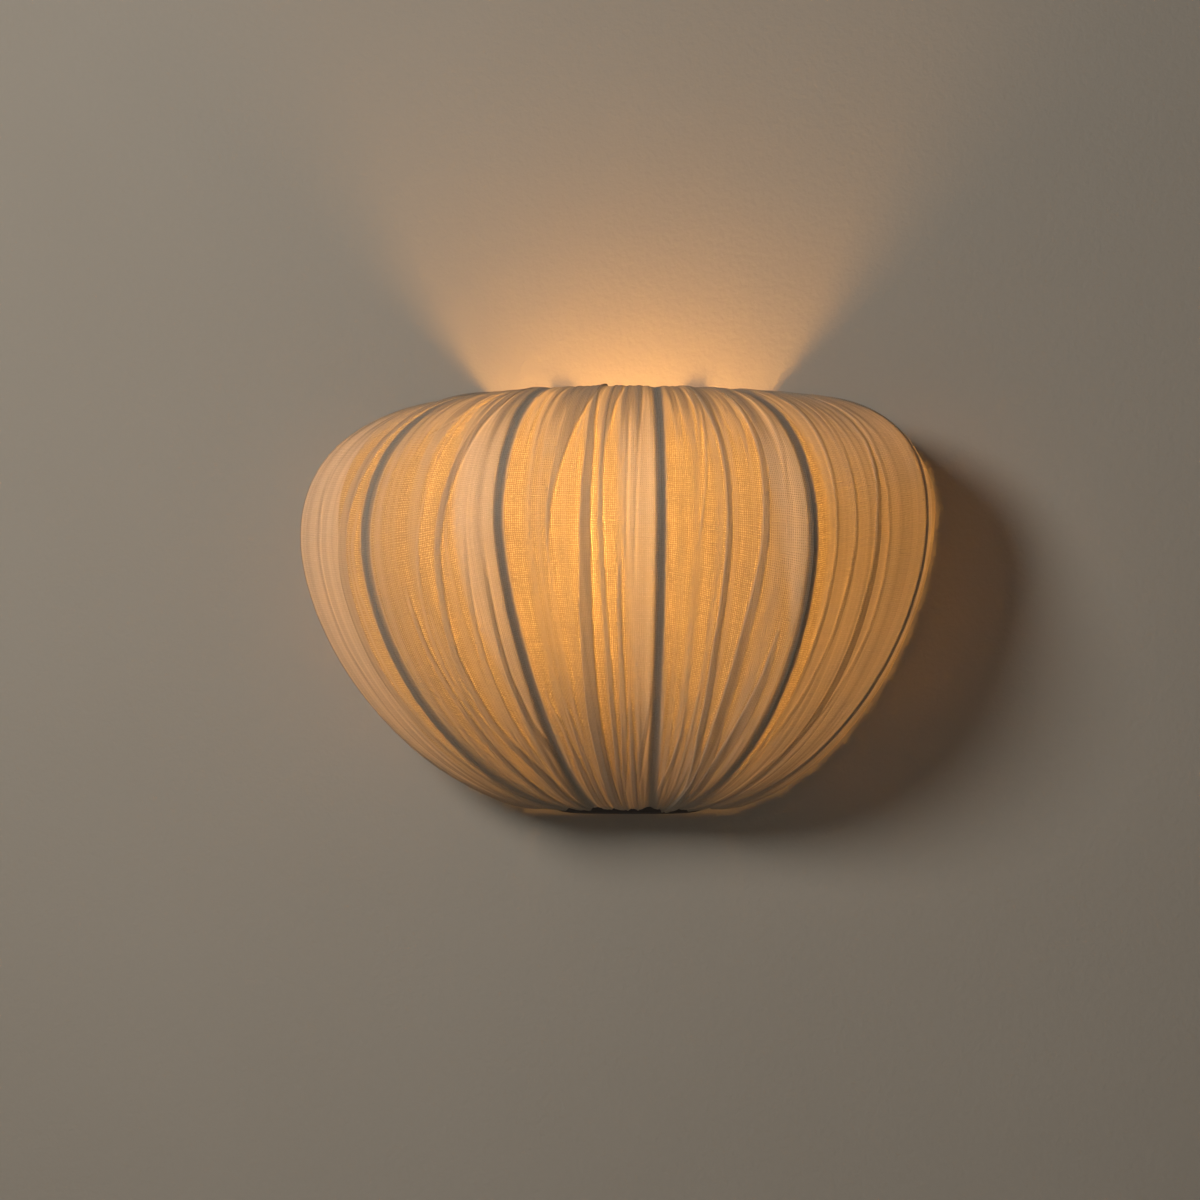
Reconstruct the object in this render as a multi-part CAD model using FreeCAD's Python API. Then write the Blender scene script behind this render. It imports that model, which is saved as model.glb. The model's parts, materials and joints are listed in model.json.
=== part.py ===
import FreeCAD, Part
import math
import os

# A half round cloth shade on a wire frame. It hangs on two hooks of a wall plate, which also carries
# a lampholder on a short arm. The origin is the centre of the wall plate's back face, the wall is the
# plane Y = 0, the front is -Y and +Z is up. Heights below are counted from the underside of the
# bottom plate, and level() turns them into Z.

# Frame of the shade
wire_diameter = 4.0
hoop_from_wall = 5.0
top_ring_height = 252.5
top_ring_half_width = 84.0
top_ring_depth = 104.5
bottom_ring_height = 7.5
bottom_ring_half_width = 60.0
bottom_ring_depth = 27.5
weld_gap = 0.1

# Each wire's curve, as: where it stands on the bottom ring and on the top ring, in degrees from the
# middle of the oval, how far it reaches out from the bottom ring and the height where it does so, and
# how full it is below and above that. The ribs are bent by hand, and the outer two differ.
rib_curves = (
    ("left_outer", -55.5, -73.0, 153.5, 168.0, 1.72, 2.27),
    ("left_middle", -32.0, -49.0, 172.0, 160.0, 1.72, 2.10),
    ("left_inner", -16.0, -20.5, 170.0, 171.0, 1.43, 1.93),
    ("right_inner", 16.0, 20.5, 170.0, 171.0, 1.43, 1.93),
    ("right_middle", 32.0, 49.0, 172.0, 160.0, 1.72, 2.10),
    ("right_outer", 56.0, 73.1, 155.0, 174.0, 1.72, 2.75),
)
hoop_curve = (90.0, 90.0, 127.5, 186.0, 1.71, 2.25)
crown_spans = 6
belly_spans = 7
ring_spans = 6

# Cloth. The folds are given as shares of the way across a panel, from its left edge to its right edge.
cloth_gap = 0.9
cloth_lap = 0.7
cloth_thickness = 1.2
cloth_seam_gap = 0.4
fold_depth = 1.8
fold_most_of_width = 0.24
fold_least = 0.3
crown_sections = 9
belly_sections = 11
cloth_overrun = 8.0
panel_folds = (
    ("left_back", (0.35, 0.68)),
    ("left_outer", (0.28, 0.52, 0.74)),
    ("left_inner", (0.20, 0.38, 0.54, 0.66, 0.82)),
    ("front", (0.24, 0.50, 0.59, 0.67, 0.76)),
    ("right_inner", (0.18, 0.32, 0.43, 0.54, 0.66, 0.82)),
    ("right_outer", (0.12, 0.24, 0.35, 0.46, 0.57, 0.69, 0.84)),
    ("right_back", (0.34, 0.66)),
)
hem_thickness = 1.4
hem_gap = 0.3
hem_end_gap = 0.5

# Bottom plate, strap and screw
bottom_plate_thickness = 5.0
bottom_plate_gap = 0.8
# The plate's rounded underside, as (share of its thickness from below, share of its inset at the bottom)
bottom_plate_inset = 27.0
bottom_plate_rounding = ((0.0, 1.0), (0.08, 0.72), (0.22, 0.53), (0.44, 0.38), (0.72, 0.19), (1.0, 0.0))
strap_width = 12.0
strap_thickness = 2.0
boss_diameter = 10.0
boss_from_wall = 13.0
bottom_screw_diameter = 3.8
bottom_screw_head = 7.6
screw_clearance = 0.1

# Wall plate with its hooks
plate_width = 96.0
plate_bottom = 60.0
plate_thickness = 2.0
plate_corner = 8.0
plate_below_bar = 10.5
mount_hole_spacing = 60.0
mount_hole_diameter = 5.0
cable_hole_diameter = 16.0
cable_hole_height = 190.0
grommet_flange = 2.0
grommet_wall = 2.0
hook_spacing = 72.0
hook_width = 12.0
hook_slope = 35.0
hook_length = 14.0
hook_clearance = 0.3

# Arm
arm_height = 82.0
arm_diameter = 12.0
arm_wall = 1.0
arm_socket_web = 0.5
flange_diameter = 30.0
flange_thickness = 3.0
flange_screw_circle = 22.0
flange_screw_count = 3
flange_screw_diameter = 3.0
flange_screw_head = 5.4
flange_screw_head_height = 1.8
elbow_size = 20.0
elbow_width = 16.0
elbow_bore = 8.4
elbow_corner = 3.0
nipple_diameter = 10.0
nipple_bore = 8.0
nipple_grip = 8.0
nut_flats = 14.0
nut_height = 3.0

# Lampholder, for a small screw cap, and the bulb
lamp_from_wall = 79.0
holder_diameter = 27.0
holder_wall = 1.5
holder_floor = 2.5
holder_cap_height = 20.0
holder_skirt_height = 21.0
holder_mouth_diameter = 23.0
insert_rise = 8.0
insert_height = 12.0
insert_floor = 4.0
insert_bore = 17.0
sleeve_diameter = 14.3
sleeve_wall = 0.4
sleeve_rise = 22.0
sleeve_height = 17.0
contact_thickness = 0.6
contact_width = 2.4
contact_clearance = 0.3
cap_diameter = 13.9
cap_length = 23.5
cap_wall = 0.4
thread_pitch = 2.82
thread_turns = 6
thread_depth = 0.6
insulator_height = 3.6
button_diameter = 4.2
button_height = 1.9
globe_diameter = 45.0
globe_wall = 1.0
globe_rise = 55.5
globe_mouth_drop = 15.0
board_thickness = 1.2

# Terminals and wires
terminal_pitch = 10.0
terminal_block_width = 31.0
terminal_block_depth = 18.0
terminal_block_bottom = 100.0
terminal_block_height = 22.0
terminal_wire_depth = 12.0
terminal_screw_diameter = 3.6
terminal_screw_inset = 3.5
terminal_entry_depth = 6.0
block_screw_diameter = 3.0
lead_diameter = 2.1
lead_spacing = 5.2
lead_clearance = 0.25
lead_grip = 5.5
earth_screw_side = 32.0
earth_screw_height = 94.5
earth_screw_diameter = 4.0
earth_screw_head = 7.0
earth_screw_head_height = 2.4
earth_lug_thickness = 0.8

# Values worked out from the sizes above
wire_radius = wire_diameter / 2
cloth_inside = wire_radius + cloth_gap
cloth_outside = cloth_inside + cloth_thickness
hem_inner_radius = wire_radius + hem_gap
hem_outer_radius = hem_inner_radius + hem_thickness
cloth_end_distance = hem_outer_radius - cloth_lap
plate_top = top_ring_height - plate_below_bar
mount_height = (plate_bottom + plate_top) / 2
arm_socket_depth = (elbow_width - nipple_diameter) / 2 - arm_socket_web
holder_base = arm_height + elbow_size / 2
insert_base = holder_base + insert_rise
contact_top = insert_base + insert_floor + contact_thickness
button_base = contact_top + 1.6 + contact_clearance
cap_base = button_base + insulator_height + button_height / 2
globe_height = button_base + globe_rise

V = FreeCAD.Vector
UP = V(0, 0, 1)
OUT = V(0, -1, 0)


def level(height):
    """Z of a height that is counted from the underside of the bottom plate."""
    return height - mount_height


def save(node, shape):
    """Write one node, after a check that it is made of valid solids."""
    solids = shape.Solids
    if not solids or not shape.isValid():
        print("PROBLEM", node, "valid", shape.isValid(), "solids", len(solids))
    whole = solids[0] if len(solids) == 1 else Part.makeCompound(solids)
    whole.exportStep("parts/" + node + ".step")
    size = whole.BoundBox
    print("%-22s solids %d volume %9.1f box %.0f x %.0f x %.0f" % (
        node, len(solids), whole.Volume, size.XLength, size.YLength, size.ZLength))


def arc_from(start, tangent, end):
    """The arc that leaves start along a unit tangent and ends at end, or a line where it is straight."""
    chord = end - start
    along = chord.dot(tangent)
    if along > chord.Length * 0.9999999:
        return Part.LineSegment(start, end).toShape()
    half_turn = math.acos(along / chord.Length)
    corner = start + tangent * (chord.Length / 2 / math.cos(half_turn))
    middle = (start + end) / 2
    rise = chord.Length / 2 * math.tan(half_turn / 2)
    outward = corner - middle
    outward.normalize()
    return Part.Arc(start, middle + outward * rise, end).toShape()


def smooth_path(points, tangents):
    """Tangent arcs, two for each span, through points with given directions."""
    edges = []
    for start, end, first, last in zip(points, points[1:], tangents, tangents[1:]):
        chord = end - start
        both = first + last
        turn = 1 - first.dot(last)
        reach_sum = chord.dot(both)
        if turn < 1e-9:
            arm = chord.dot(chord) / (2 * reach_sum)
        else:
            arm = (-reach_sum + math.sqrt(reach_sum ** 2 + 2 * turn * chord.dot(chord))) / (2 * turn)
        inner = start + first * arm
        outer = end - last * arm
        joint = (inner + outer) / 2
        middle_way = outer - inner
        middle_way.normalize()
        edges.append(arc_from(start, first, joint))
        edges.append(arc_from(joint, middle_way, end))
    return edges


def rounded_path(points, radii):
    """Straight runs between points, with a tangent arc of the given radius at each inner point."""
    edges = []
    here = points[0]
    for before, corner, after, radius in zip(points, points[1:], points[2:], radii):
        back = before - corner
        onward = after - corner
        back.normalize()
        onward.normalize()
        half = back.getAngle(onward) / 2
        cut = radius / math.tan(half)
        start = corner + back * cut
        end = corner + onward * cut
        bisector = back + onward
        bisector.normalize()
        middle = corner + bisector * (radius / math.sin(half) - radius)
        edges.append(Part.LineSegment(here, start).toShape())
        edges.append(Part.Arc(start, middle, end).toShape())
        here = end
    edges.append(Part.LineSegment(here, points[-1]).toShape())
    return edges


def tube_along(edges, radius, start, direction):
    """A round bar of one radius along a chain of edges."""
    path = Part.Wire(edges)
    profile = Part.Wire([Part.makeCircle(radius, start, direction)])
    sweep = Part.BRepOffsetAPI.MakePipeShell(path)
    sweep.add(profile)
    sweep.build()
    sweep.makeSolid()
    bar = sweep.shape()
    if bar.Volume < 0:
        bar.reverse()
    return bar


def box(x_range, y_range, height_range):
    """A block between two sides, two depths and two heights."""
    corner = V(x_range[0], y_range[0], level(height_range[0]))
    return Part.makeBox(x_range[1] - x_range[0], y_range[1] - y_range[0],
                        height_range[1] - height_range[0], corner)


def turned(points, depth=-lamp_from_wall):
    """A turned piece about the upright lamp axis, from (radius, height) corners."""
    corners = [V(radius, depth, level(height)) for radius, height in points]
    face = Part.Face(Part.makePolygon(corners + corners[:1]))
    return face.revolve(V(0, depth, 0), UP, 360)


def rod(diameter, start, direction, length):
    """A straight round bar or drill."""
    return Part.makeCylinder(diameter / 2, length, start, direction)


# The frame's curves

def ring_spot(turn, half_width, depth):
    """A point of a half oval ring in plan, at a turn of -90 (left end) to 90 (right end)."""
    angle = math.radians(turn)
    return V(half_width * math.sin(angle), -hoop_from_wall - depth * math.cos(angle), 0)


def ring_along(turn, half_width, depth):
    """The direction of a half oval ring at a turn."""
    angle = math.radians(turn)
    direction = V(half_width * math.cos(angle), depth * math.sin(angle), 0)
    direction.normalize()
    return direction


def meridian(bottom_turn, top_turn, widest, at, belly, crown):
    """An upright curve in the plane that stands on one point of each ring."""
    foot = ring_spot(bottom_turn, bottom_ring_half_width, bottom_ring_depth)
    outward = ring_spot(top_turn, top_ring_half_width, top_ring_depth) - foot
    top_distance = outward.Length
    outward.normalize()
    return {"turn": top_turn, "foot": foot, "outward": outward, "across": UP.cross(outward),
            "top_distance": top_distance, "widest": widest, "at": at, "belly": belly, "crown": crown}


def curve_half(line, side):
    """Fullness, the ring's distance and the height span of a curve's crown (1) or belly (-1)."""
    if side > 0:
        return line["crown"], line["top_distance"], top_ring_height - line["at"]
    return line["belly"], 0.0, line["at"] - bottom_ring_height


def curve_spot(line, turn, skin=0.0):
    """A curve's point at a turn of -90 (bottom ring) to 90 (top ring), a skin's distance outside it."""
    side = math.copysign(1, turn)
    fullness, ring_distance, span = curve_half(line, side)
    sweep = math.radians(abs(turn))
    distance = ring_distance + (line["widest"] - ring_distance) * math.cos(sweep) ** (2 / fullness)
    height = line["at"] + side * span * math.sin(sweep) ** (2 / fullness)
    along = curve_along(line, turn)
    square = line["outward"] * along.z - UP * along.dot(line["outward"])
    return line["foot"] + line["outward"] * distance + UP * level(height) + square * skin


def curve_along(line, turn):
    """A curve's upward direction at a turn."""
    if turn == 0:
        return V(UP)
    side = math.copysign(1, turn)
    fullness, ring_distance, span = curve_half(line, side)
    cosine = math.cos(math.radians(turn))
    sine = math.sin(math.radians(abs(turn)))
    inward = side * (line["widest"] - ring_distance) * cosine ** (2 / fullness - 1) * sine
    direction = UP * (span * sine ** (2 / fullness - 1) * cosine) - line["outward"] * inward
    direction.normalize()
    return direction


def even_turns(below, above):
    """Evenly spaced turns from the bottom ring up to the top ring."""
    return [90 * step / below for step in range(-below, 0)] + [90 * step / above for step in range(above + 1)]


def wire_path(line):
    """Points and directions of a wire of the frame, from the bottom ring up to the top ring."""
    turns = even_turns(belly_spans, crown_spans)
    return [curve_spot(line, turn) for turn in turns], [curve_along(line, turn) for turn in turns]


def ring_path(half_width, depth, height):
    """Points and directions of a half oval ring, from its left end to its right end."""
    points = []
    tangents = []
    for step in range(ring_spans + 1):
        turn = -90 + 180 * step / ring_spans
        points.append(ring_spot(turn, half_width, depth) + UP * level(height))
        tangents.append(ring_along(turn, half_width, depth))
    return points, tangents


def bar_on_path(path, radius):
    """A round bar along a smooth path."""
    points, tangents = path
    return tube_along(smooth_path(points, tangents), radius, points[0], tangents[0])


top_ring_line = ring_path(top_ring_half_width, top_ring_depth, top_ring_height)
bottom_ring_line = ring_path(bottom_ring_half_width, bottom_ring_depth, bottom_ring_height)


hoop_turn, hoop_top_turn, *hoop_bend = hoop_curve
hoop_lines = [meridian(side * hoop_turn, side * hoop_top_turn, *hoop_bend) for side in (-1, 1)]
rib_lines = [("rib_" + rib_name, meridian(*curve)) for rib_name, *curve in rib_curves]


def back_frame():
    """The flat hoop along the wall: two curved sides, joined by a straight bar at the top and bottom."""
    left_points, left_tangents = wire_path(hoop_lines[0])
    right_points, right_tangents = wire_path(hoop_lines[1])
    edges = smooth_path(right_points, right_tangents)
    edges.append(Part.LineSegment(right_points[-1], left_points[-1]).toShape())
    down_points = left_points[::-1]
    down_tangents = [tangent * -1 for tangent in left_tangents[::-1]]
    edges += smooth_path(down_points, down_tangents)
    edges.append(Part.LineSegment(left_points[0], right_points[0]).toShape())
    return tube_along(edges, wire_radius, right_points[0], right_tangents[0])


def ring(path, hoop_cutter):
    """A half oval ring whose ends are butted on the hoop."""
    return bar_on_path(path, wire_radius).cut(hoop_cutter)


def rib(line, ring_cutters):
    """One rib, butted on both rings."""
    bar = bar_on_path(wire_path(line), wire_radius)
    for cutter in ring_cutters:
        bar = bar.cut(cutter)
    return max(bar.Solids, key=lambda solid: solid.Volume)


# The cloth

def scallops(start, end, folds, outward):
    """Shallow arcs from one point to another that meet at the folds and bulge outwards."""
    marks = [start + (end - start) * share for share in (0.0,) + folds + (1.0,)]
    arcs = []
    for here, there in zip(marks, marks[1:]):
        bulge = min(fold_depth, fold_most_of_width * (there - here).Length)
        arcs.append(Part.Arc(here, (here + there) / 2 + outward * bulge, there).toShape())
    return arcs


def stop_at_hem(corner, other):
    """Draw a panel's corner back along its chord, so that it ends beside the hem of the hoop."""
    return corner + (other - corner) * (cloth_end_distance / abs(other.y - corner.y))


def panel_section(left, right, folds, turn, overrun):
    """The closed outline of a panel at one turn of its wires, or past the ring by an overrun."""
    sides = []
    for skin in (cloth_outside, cloth_inside):
        corners = [curve_spot(line, turn, skin) - line["outward"] * overrun for line in (left, right)]
        corners[0] += left["across"] * (cloth_seam_gap / 2)
        corners[1] -= right["across"] * (cloth_seam_gap / 2)
        if left in hoop_lines:
            corners[0] = stop_at_hem(*corners)
        if right in hoop_lines:
            corners[1] = stop_at_hem(corners[1], corners[0])
        sides.append(corners)
    outer, inner = sides
    outward = outer[0] + outer[1] - inner[0] - inner[1]
    outward.normalize()
    outward *= fold_least + (1 - fold_least) * math.cos(math.radians(turn))
    edges = scallops(outer[0], outer[1], folds, outward)
    edges.append(Part.LineSegment(outer[1], inner[1]).toShape())
    edges += scallops(inner[1], inner[0], tuple(1 - share for share in folds[::-1]), outward)
    edges.append(Part.LineSegment(inner[0], outer[0]).toShape())
    return Part.Wire(edges)


def cloth_panel(left, right, folds):
    """One panel of the cloth, from hem to hem."""
    sections = [panel_section(left, right, folds, -90, cloth_overrun)]
    for turn in even_turns(belly_sections, crown_sections):
        sections.append(panel_section(left, right, folds, turn, 0.0))
    sections.append(panel_section(left, right, folds, 90, cloth_overrun))
    panel = Part.makeLoft(sections, True, False)
    if panel.Volume < 0:
        panel.reverse()
    for half_width, depth, ring_height in ((bottom_ring_half_width, bottom_ring_depth, bottom_ring_height),
                                           (top_ring_half_width, top_ring_depth, top_ring_height)):
        panel = panel.cut(half_oval(half_width + cloth_end_distance, depth + cloth_end_distance,
                                    ring_height - 2 * cloth_overrun, ring_height + 2 * cloth_overrun))
    return panel


def hem_tube(path):
    """Rolled cloth round a wire."""
    return bar_on_path(path, hem_outer_radius).cut(bar_on_path(path, hem_inner_radius))


def ring_hem(path, blockers):
    """The hem round a half oval ring, notched for the ribs and ending beside the hoop."""
    room = hoop_from_wall + hem_outer_radius + hem_end_gap
    wide = 2 * (top_ring_half_width + bottom_ring_half_width)
    behind = Part.makeBox(wide, 2 * room, 2 * top_ring_height, V(-wide / 2, -room, -top_ring_height))
    hem = hem_tube(path).cut(behind)
    for blocker in blockers:
        hem = hem.cut(blocker)
    return hem


def edge_hem(line):
    """The hem round one side of the hoop, between the two ring hems."""
    side = math.copysign(1, line["turn"])
    room = hem_outer_radius + hem_end_gap
    hem = hem_tube(wire_path(line))
    for half_width, low, high in ((top_ring_half_width, line["at"], 2 * top_ring_height),
                                  (bottom_ring_half_width, -top_ring_height, line["at"])):
        sides = sorted((-side * half_width, side * (half_width + room)))
        hem = hem.cut(box(sides, (-lamp_from_wall, lamp_from_wall), (low, high)))
    return hem


# The bottom of the shade

def half_oval_outline(half_width, depth, height):
    """The D-shaped outline at one height: straight along the back of the hoop, oval in front."""
    points, tangents = ring_path(half_width, depth, height)
    back = V(0, wire_radius, 0)
    edges = smooth_path(points, tangents)
    edges.append(Part.LineSegment(points[-1], points[-1] + back).toShape())
    edges.append(Part.LineSegment(points[-1] + back, points[0] + back).toShape())
    edges.append(Part.LineSegment(points[0] + back, points[0]).toShape())
    return Part.Wire(edges)


def half_oval(half_width, depth, low, high):
    """A straight-sided D-shaped block."""
    return Part.Face(half_oval_outline(half_width, depth, low)).extrude(UP * (high - low))


strap_base = bottom_ring_height + wire_radius + weld_gap
strap_front = hoop_from_wall + bottom_ring_depth + wire_radius
boss_top = strap_base + strap_thickness


def bottom_strap():
    """The flat bar across the bottom ring, with the boss that the plate's screw goes into."""
    bar = box((-strap_width / 2, strap_width / 2), (-strap_front, -hoop_from_wall + wire_radius),
              (strap_base, boss_top))
    foot = V(0, -boss_from_wall, level(bottom_plate_thickness))
    boss = rod(boss_diameter, foot, UP, boss_top - bottom_plate_thickness)
    bore = rod(bottom_screw_diameter + 2 * screw_clearance, foot, UP, boss_top)
    return bar.fuse(boss).cut(bore).removeSplitter()


def bottom_screw(grown):
    """The countersunk screw, or with a clearance the hole that it needs."""
    foot = V(0, -boss_from_wall, level(0))
    shank = rod(bottom_screw_diameter + 2 * grown, foot, UP, boss_top)
    head = Part.makeCone(bottom_screw_head / 2 + grown, bottom_screw_diameter / 2 + grown,
                         (bottom_screw_head - bottom_screw_diameter) / 2, foot, UP)
    return shank.fuse(head).removeSplitter()


def bottom_plate():
    """The dark plate that closes the shade from below. It sits inside the hem, and its underside is domed."""
    room = hem_outer_radius + bottom_plate_gap
    half_width = bottom_ring_half_width - room
    depth = bottom_ring_depth - room
    outlines = []
    for rise, inset in bottom_plate_rounding:
        share = 1 - inset * bottom_plate_inset / half_width
        outlines.append(half_oval_outline(half_width * share, depth * share, rise * bottom_plate_thickness))
    plate = Part.makeLoft(outlines, True, True)
    if plate.Volume < 0:
        plate.reverse()
    return plate.cut(bottom_screw(screw_clearance))


# The wall plate and what is on it

def hook(side):
    """A hook bent from the plate's top edge. Its tongue slopes up and out, under the hoop's top bar."""
    slope = math.radians(hook_slope)
    along = (-math.cos(slope), math.sin(slope))
    normal = (math.sin(slope), math.cos(slope))
    seat_gap = wire_radius + hook_clearance
    seat = (-hoop_from_wall - normal[0] * seat_gap, top_ring_height - normal[1] * seat_gap)
    under = (seat[0] - normal[0] * plate_thickness, seat[1] - normal[1] * plate_thickness)
    tip = (seat[0] + along[0] * hook_length / 2, seat[1] + along[1] * hook_length / 2)
    tip_under = (under[0] + along[0] * hook_length / 2, under[1] + along[1] * hook_length / 2)
    back_height = seat[1] + seat[0] * math.tan(slope)
    front_height = under[1] + (under[0] + plate_thickness) * math.tan(slope)
    outline = (
        (0, plate_top - plate_corner),
        (0, back_height),
        tip,
        tip_under,
        (-plate_thickness, front_height),
        (-plate_thickness, plate_top - plate_corner),
    )
    left = side * hook_spacing / 2 - hook_width / 2
    corners = [V(left, depth, level(height)) for depth, height in outline]
    return Part.Face(Part.makePolygon(corners + corners[:1])).extrude(V(hook_width, 0, 0))


def wall_drill(diameter, across, height, depth=plate_thickness):
    """A round bar from the wall outwards, used as a drill or as a screw's shank."""
    return rod(diameter, V(across, 0, level(height)), OUT, depth)


def flange_screw_places():
    """Where the arm's screws sit, as (across, height)."""
    places = []
    for number in range(flange_screw_count):
        turn = math.radians(-90 + 360 * number / flange_screw_count)
        places.append((flange_screw_circle / 2 * math.cos(turn),
                       arm_height + flange_screw_circle / 2 * math.sin(turn)))
    return places


block_screw_across = terminal_pitch / 2
block_screw_height = terminal_block_bottom + terminal_block_height / 2


def wall_plate():
    """The pressed plate with its holes and hooks."""
    plate = box((-plate_width / 2, plate_width / 2), (-plate_thickness, 0), (plate_bottom, plate_top))
    upright = [edge for edge in plate.Edges if abs(edge.tangentAt(edge.FirstParameter).y) > 0.99]
    plate = plate.makeFillet(plate_corner, upright)
    for side in (-1, 1):
        plate = plate.fuse(hook(side))
        plate = plate.cut(wall_drill(mount_hole_diameter, side * mount_hole_spacing / 2, mount_height))
    plate = plate.cut(wall_drill(cable_hole_diameter, 0, cable_hole_height))
    for across, height in flange_screw_places():
        plate = plate.cut(wall_drill(flange_screw_diameter + 2 * screw_clearance, across, height))
    plate = plate.cut(wall_drill(block_screw_diameter + 2 * screw_clearance, block_screw_across,
                                 block_screw_height))
    plate = plate.cut(wall_drill(earth_screw_diameter + 2 * screw_clearance, earth_screw_side,
                                 earth_screw_height))
    return plate.removeSplitter()


def cable_grommet():
    """The rubber ring that lines the cable hole."""
    body = wall_drill(cable_hole_diameter - 2 * screw_clearance, 0, cable_hole_height,
                      plate_thickness + grommet_flange)
    lip = rod(cable_hole_diameter + 2 * grommet_flange, V(0, -plate_thickness, level(cable_hole_height)),
              OUT, grommet_flange)
    bore = wall_drill(cable_hole_diameter - 2 * grommet_wall - 2 * screw_clearance, 0, cable_hole_height,
                      2 * (plate_thickness + grommet_flange))
    return body.fuse(lip).cut(bore).removeSplitter()


def pan_screw(across, height, foot, seat, diameter, head, head_height):
    """A pan head screw that points at the wall: foot and seat are distances from the wall."""
    shank = rod(diameter, V(across, -foot, level(height)), OUT, seat - foot)
    cap = rod(head, V(across, -seat, level(height)), OUT, head_height)
    rim = [cap.Edges[0]]
    for edge in cap.Edges:
        if abs(edge.CenterOfMass.y + seat + head_height) < 1e-6:
            rim = [edge]
    cap = cap.makeFillet(head_height * 0.6, rim)
    slot_width = head * 0.14
    slot = box((across - head, across + head), (-seat - 2 * head_height, -seat - head_height * 0.55),
               (height - slot_width / 2, height + slot_width / 2))
    return shank.fuse(cap).cut(slot).removeSplitter()


def arm_flange():
    """The disc that holds the arm on the plate."""
    face = V(0, -plate_thickness, level(arm_height))
    disc = rod(flange_diameter, face, OUT, flange_thickness)
    disc = disc.cut(rod(arm_diameter + 2 * screw_clearance, face, OUT, flange_thickness))
    for across, height in flange_screw_places():
        disc = disc.cut(wall_drill(flange_screw_diameter + 2 * screw_clearance, across, height,
                                   plate_thickness + flange_thickness))
    return disc


def arm_screws():
    """The screws of the arm's flange."""
    seat = plate_thickness + flange_thickness
    return Part.makeCompound([
        pan_screw(across, height, 0, seat, flange_screw_diameter, flange_screw_head, flange_screw_head_height)
        for across, height in flange_screw_places()])


terminal_wire_from_wall = plate_thickness + terminal_wire_depth
elbow_back = lamp_from_wall - elbow_width / 2


def arm_tube():
    """The straight tube, with a hole in its top for the leads."""
    start = V(0, -plate_thickness, level(arm_height))
    length = elbow_back + arm_socket_depth - plate_thickness
    tube = rod(arm_diameter, start, OUT, length).cut(rod(arm_diameter - 2 * arm_wall, start, OUT, length))
    entry = rod(elbow_bore, V(0, -terminal_wire_from_wall, level(arm_height)), UP, arm_diameter)
    return tube.cut(entry)


def arm_elbow():
    """The block that joins the arm to the upright nipple."""
    half = elbow_width / 2
    base = arm_height - elbow_size / 2
    block = box((-half, half), (-lamp_from_wall - half, -lamp_from_wall + half), (base, holder_base))
    upright = [edge for edge in block.Edges if abs(edge.tangentAt(edge.FirstParameter).z) > 0.99]
    block = block.makeFillet(elbow_corner, upright)
    mouth = V(0, -elbow_back, level(arm_height))
    centre = V(0, -lamp_from_wall, level(arm_height))
    block = block.cut(rod(arm_diameter + 2 * screw_clearance, mouth, OUT, arm_socket_depth))
    block = block.cut(rod(elbow_bore, mouth, OUT, half))
    block = block.cut(rod(elbow_bore, centre, UP, elbow_size))
    thread = V(0, -lamp_from_wall, level(holder_base - nipple_grip))
    block = block.cut(Part.makeSphere(elbow_bore / 2, centre))
    return block.cut(rod(nipple_diameter + 2 * screw_clearance, thread, UP, nipple_grip)).removeSplitter()


nut_base = holder_base + holder_floor
nipple_top = nut_base + nut_height + 1.0


def threaded_nipple():
    """The M10 tube that the lampholder is clamped on."""
    base = holder_base - nipple_grip
    return turned(((nipple_bore / 2, base), (nipple_diameter / 2, base),
                   (nipple_diameter / 2, nipple_top), (nipple_bore / 2, nipple_top)))


def holder_nut():
    """The hexagon nut inside the lampholder."""
    across_corners = nut_flats / math.cos(math.radians(30)) / 2
    corners = []
    for number in range(6):
        turn = math.radians(60 * number)
        corners.append(V(across_corners * math.cos(turn), across_corners * math.sin(turn) - lamp_from_wall,
                         level(nut_base)))
    body = Part.Face(Part.makePolygon(corners + corners[:1])).extrude(UP * nut_height)
    bore = rod(nipple_diameter + 2 * screw_clearance, V(0, -lamp_from_wall, level(nut_base)), UP, nut_height)
    return body.cut(bore)


def holder_cap():
    """The lower half of the lampholder."""
    outer = holder_diameter / 2
    inner = outer - holder_wall
    bore = nipple_diameter / 2 + screw_clearance
    top = holder_base + holder_cap_height
    return turned(((bore, holder_base), (outer - 1.5, holder_base), (outer, holder_base + 1.5),
                   (outer, top), (inner, top), (inner, holder_base + holder_floor),
                   (bore, holder_base + holder_floor)))


def holder_insert():
    """The insulating insert that holds both contacts, with a way through for each lead."""
    outer = holder_diameter / 2 - holder_wall - hem_gap
    floor = insert_base + insert_floor
    body = turned(((0, insert_base), (outer, insert_base), (outer, insert_base + insert_height),
                   (insert_bore / 2, insert_base + insert_height), (insert_bore / 2, floor), (0, floor)))
    for side in (-1, 1):
        way = V(side * lead_spacing / 2, -lamp_from_wall, level(insert_base))
        body = body.cut(rod(lead_diameter + 2 * lead_clearance, way, UP, insert_floor))
    return body


def centre_contact():
    """The spring strip under the bulb's button."""
    base = insert_base + insert_floor
    strip = box((-lead_spacing / 2 - contact_width / 2, contact_width / 2),
                (-lamp_from_wall - contact_width / 2, -lamp_from_wall + contact_width / 2),
                (base, contact_top))
    rise = button_base - contact_clearance - contact_top
    button = rod(contact_width * 0.8, V(0, -lamp_from_wall, level(contact_top)), UP, rise)
    return strip.fuse(button).removeSplitter()


sleeve_base = holder_base + sleeve_rise


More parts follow.
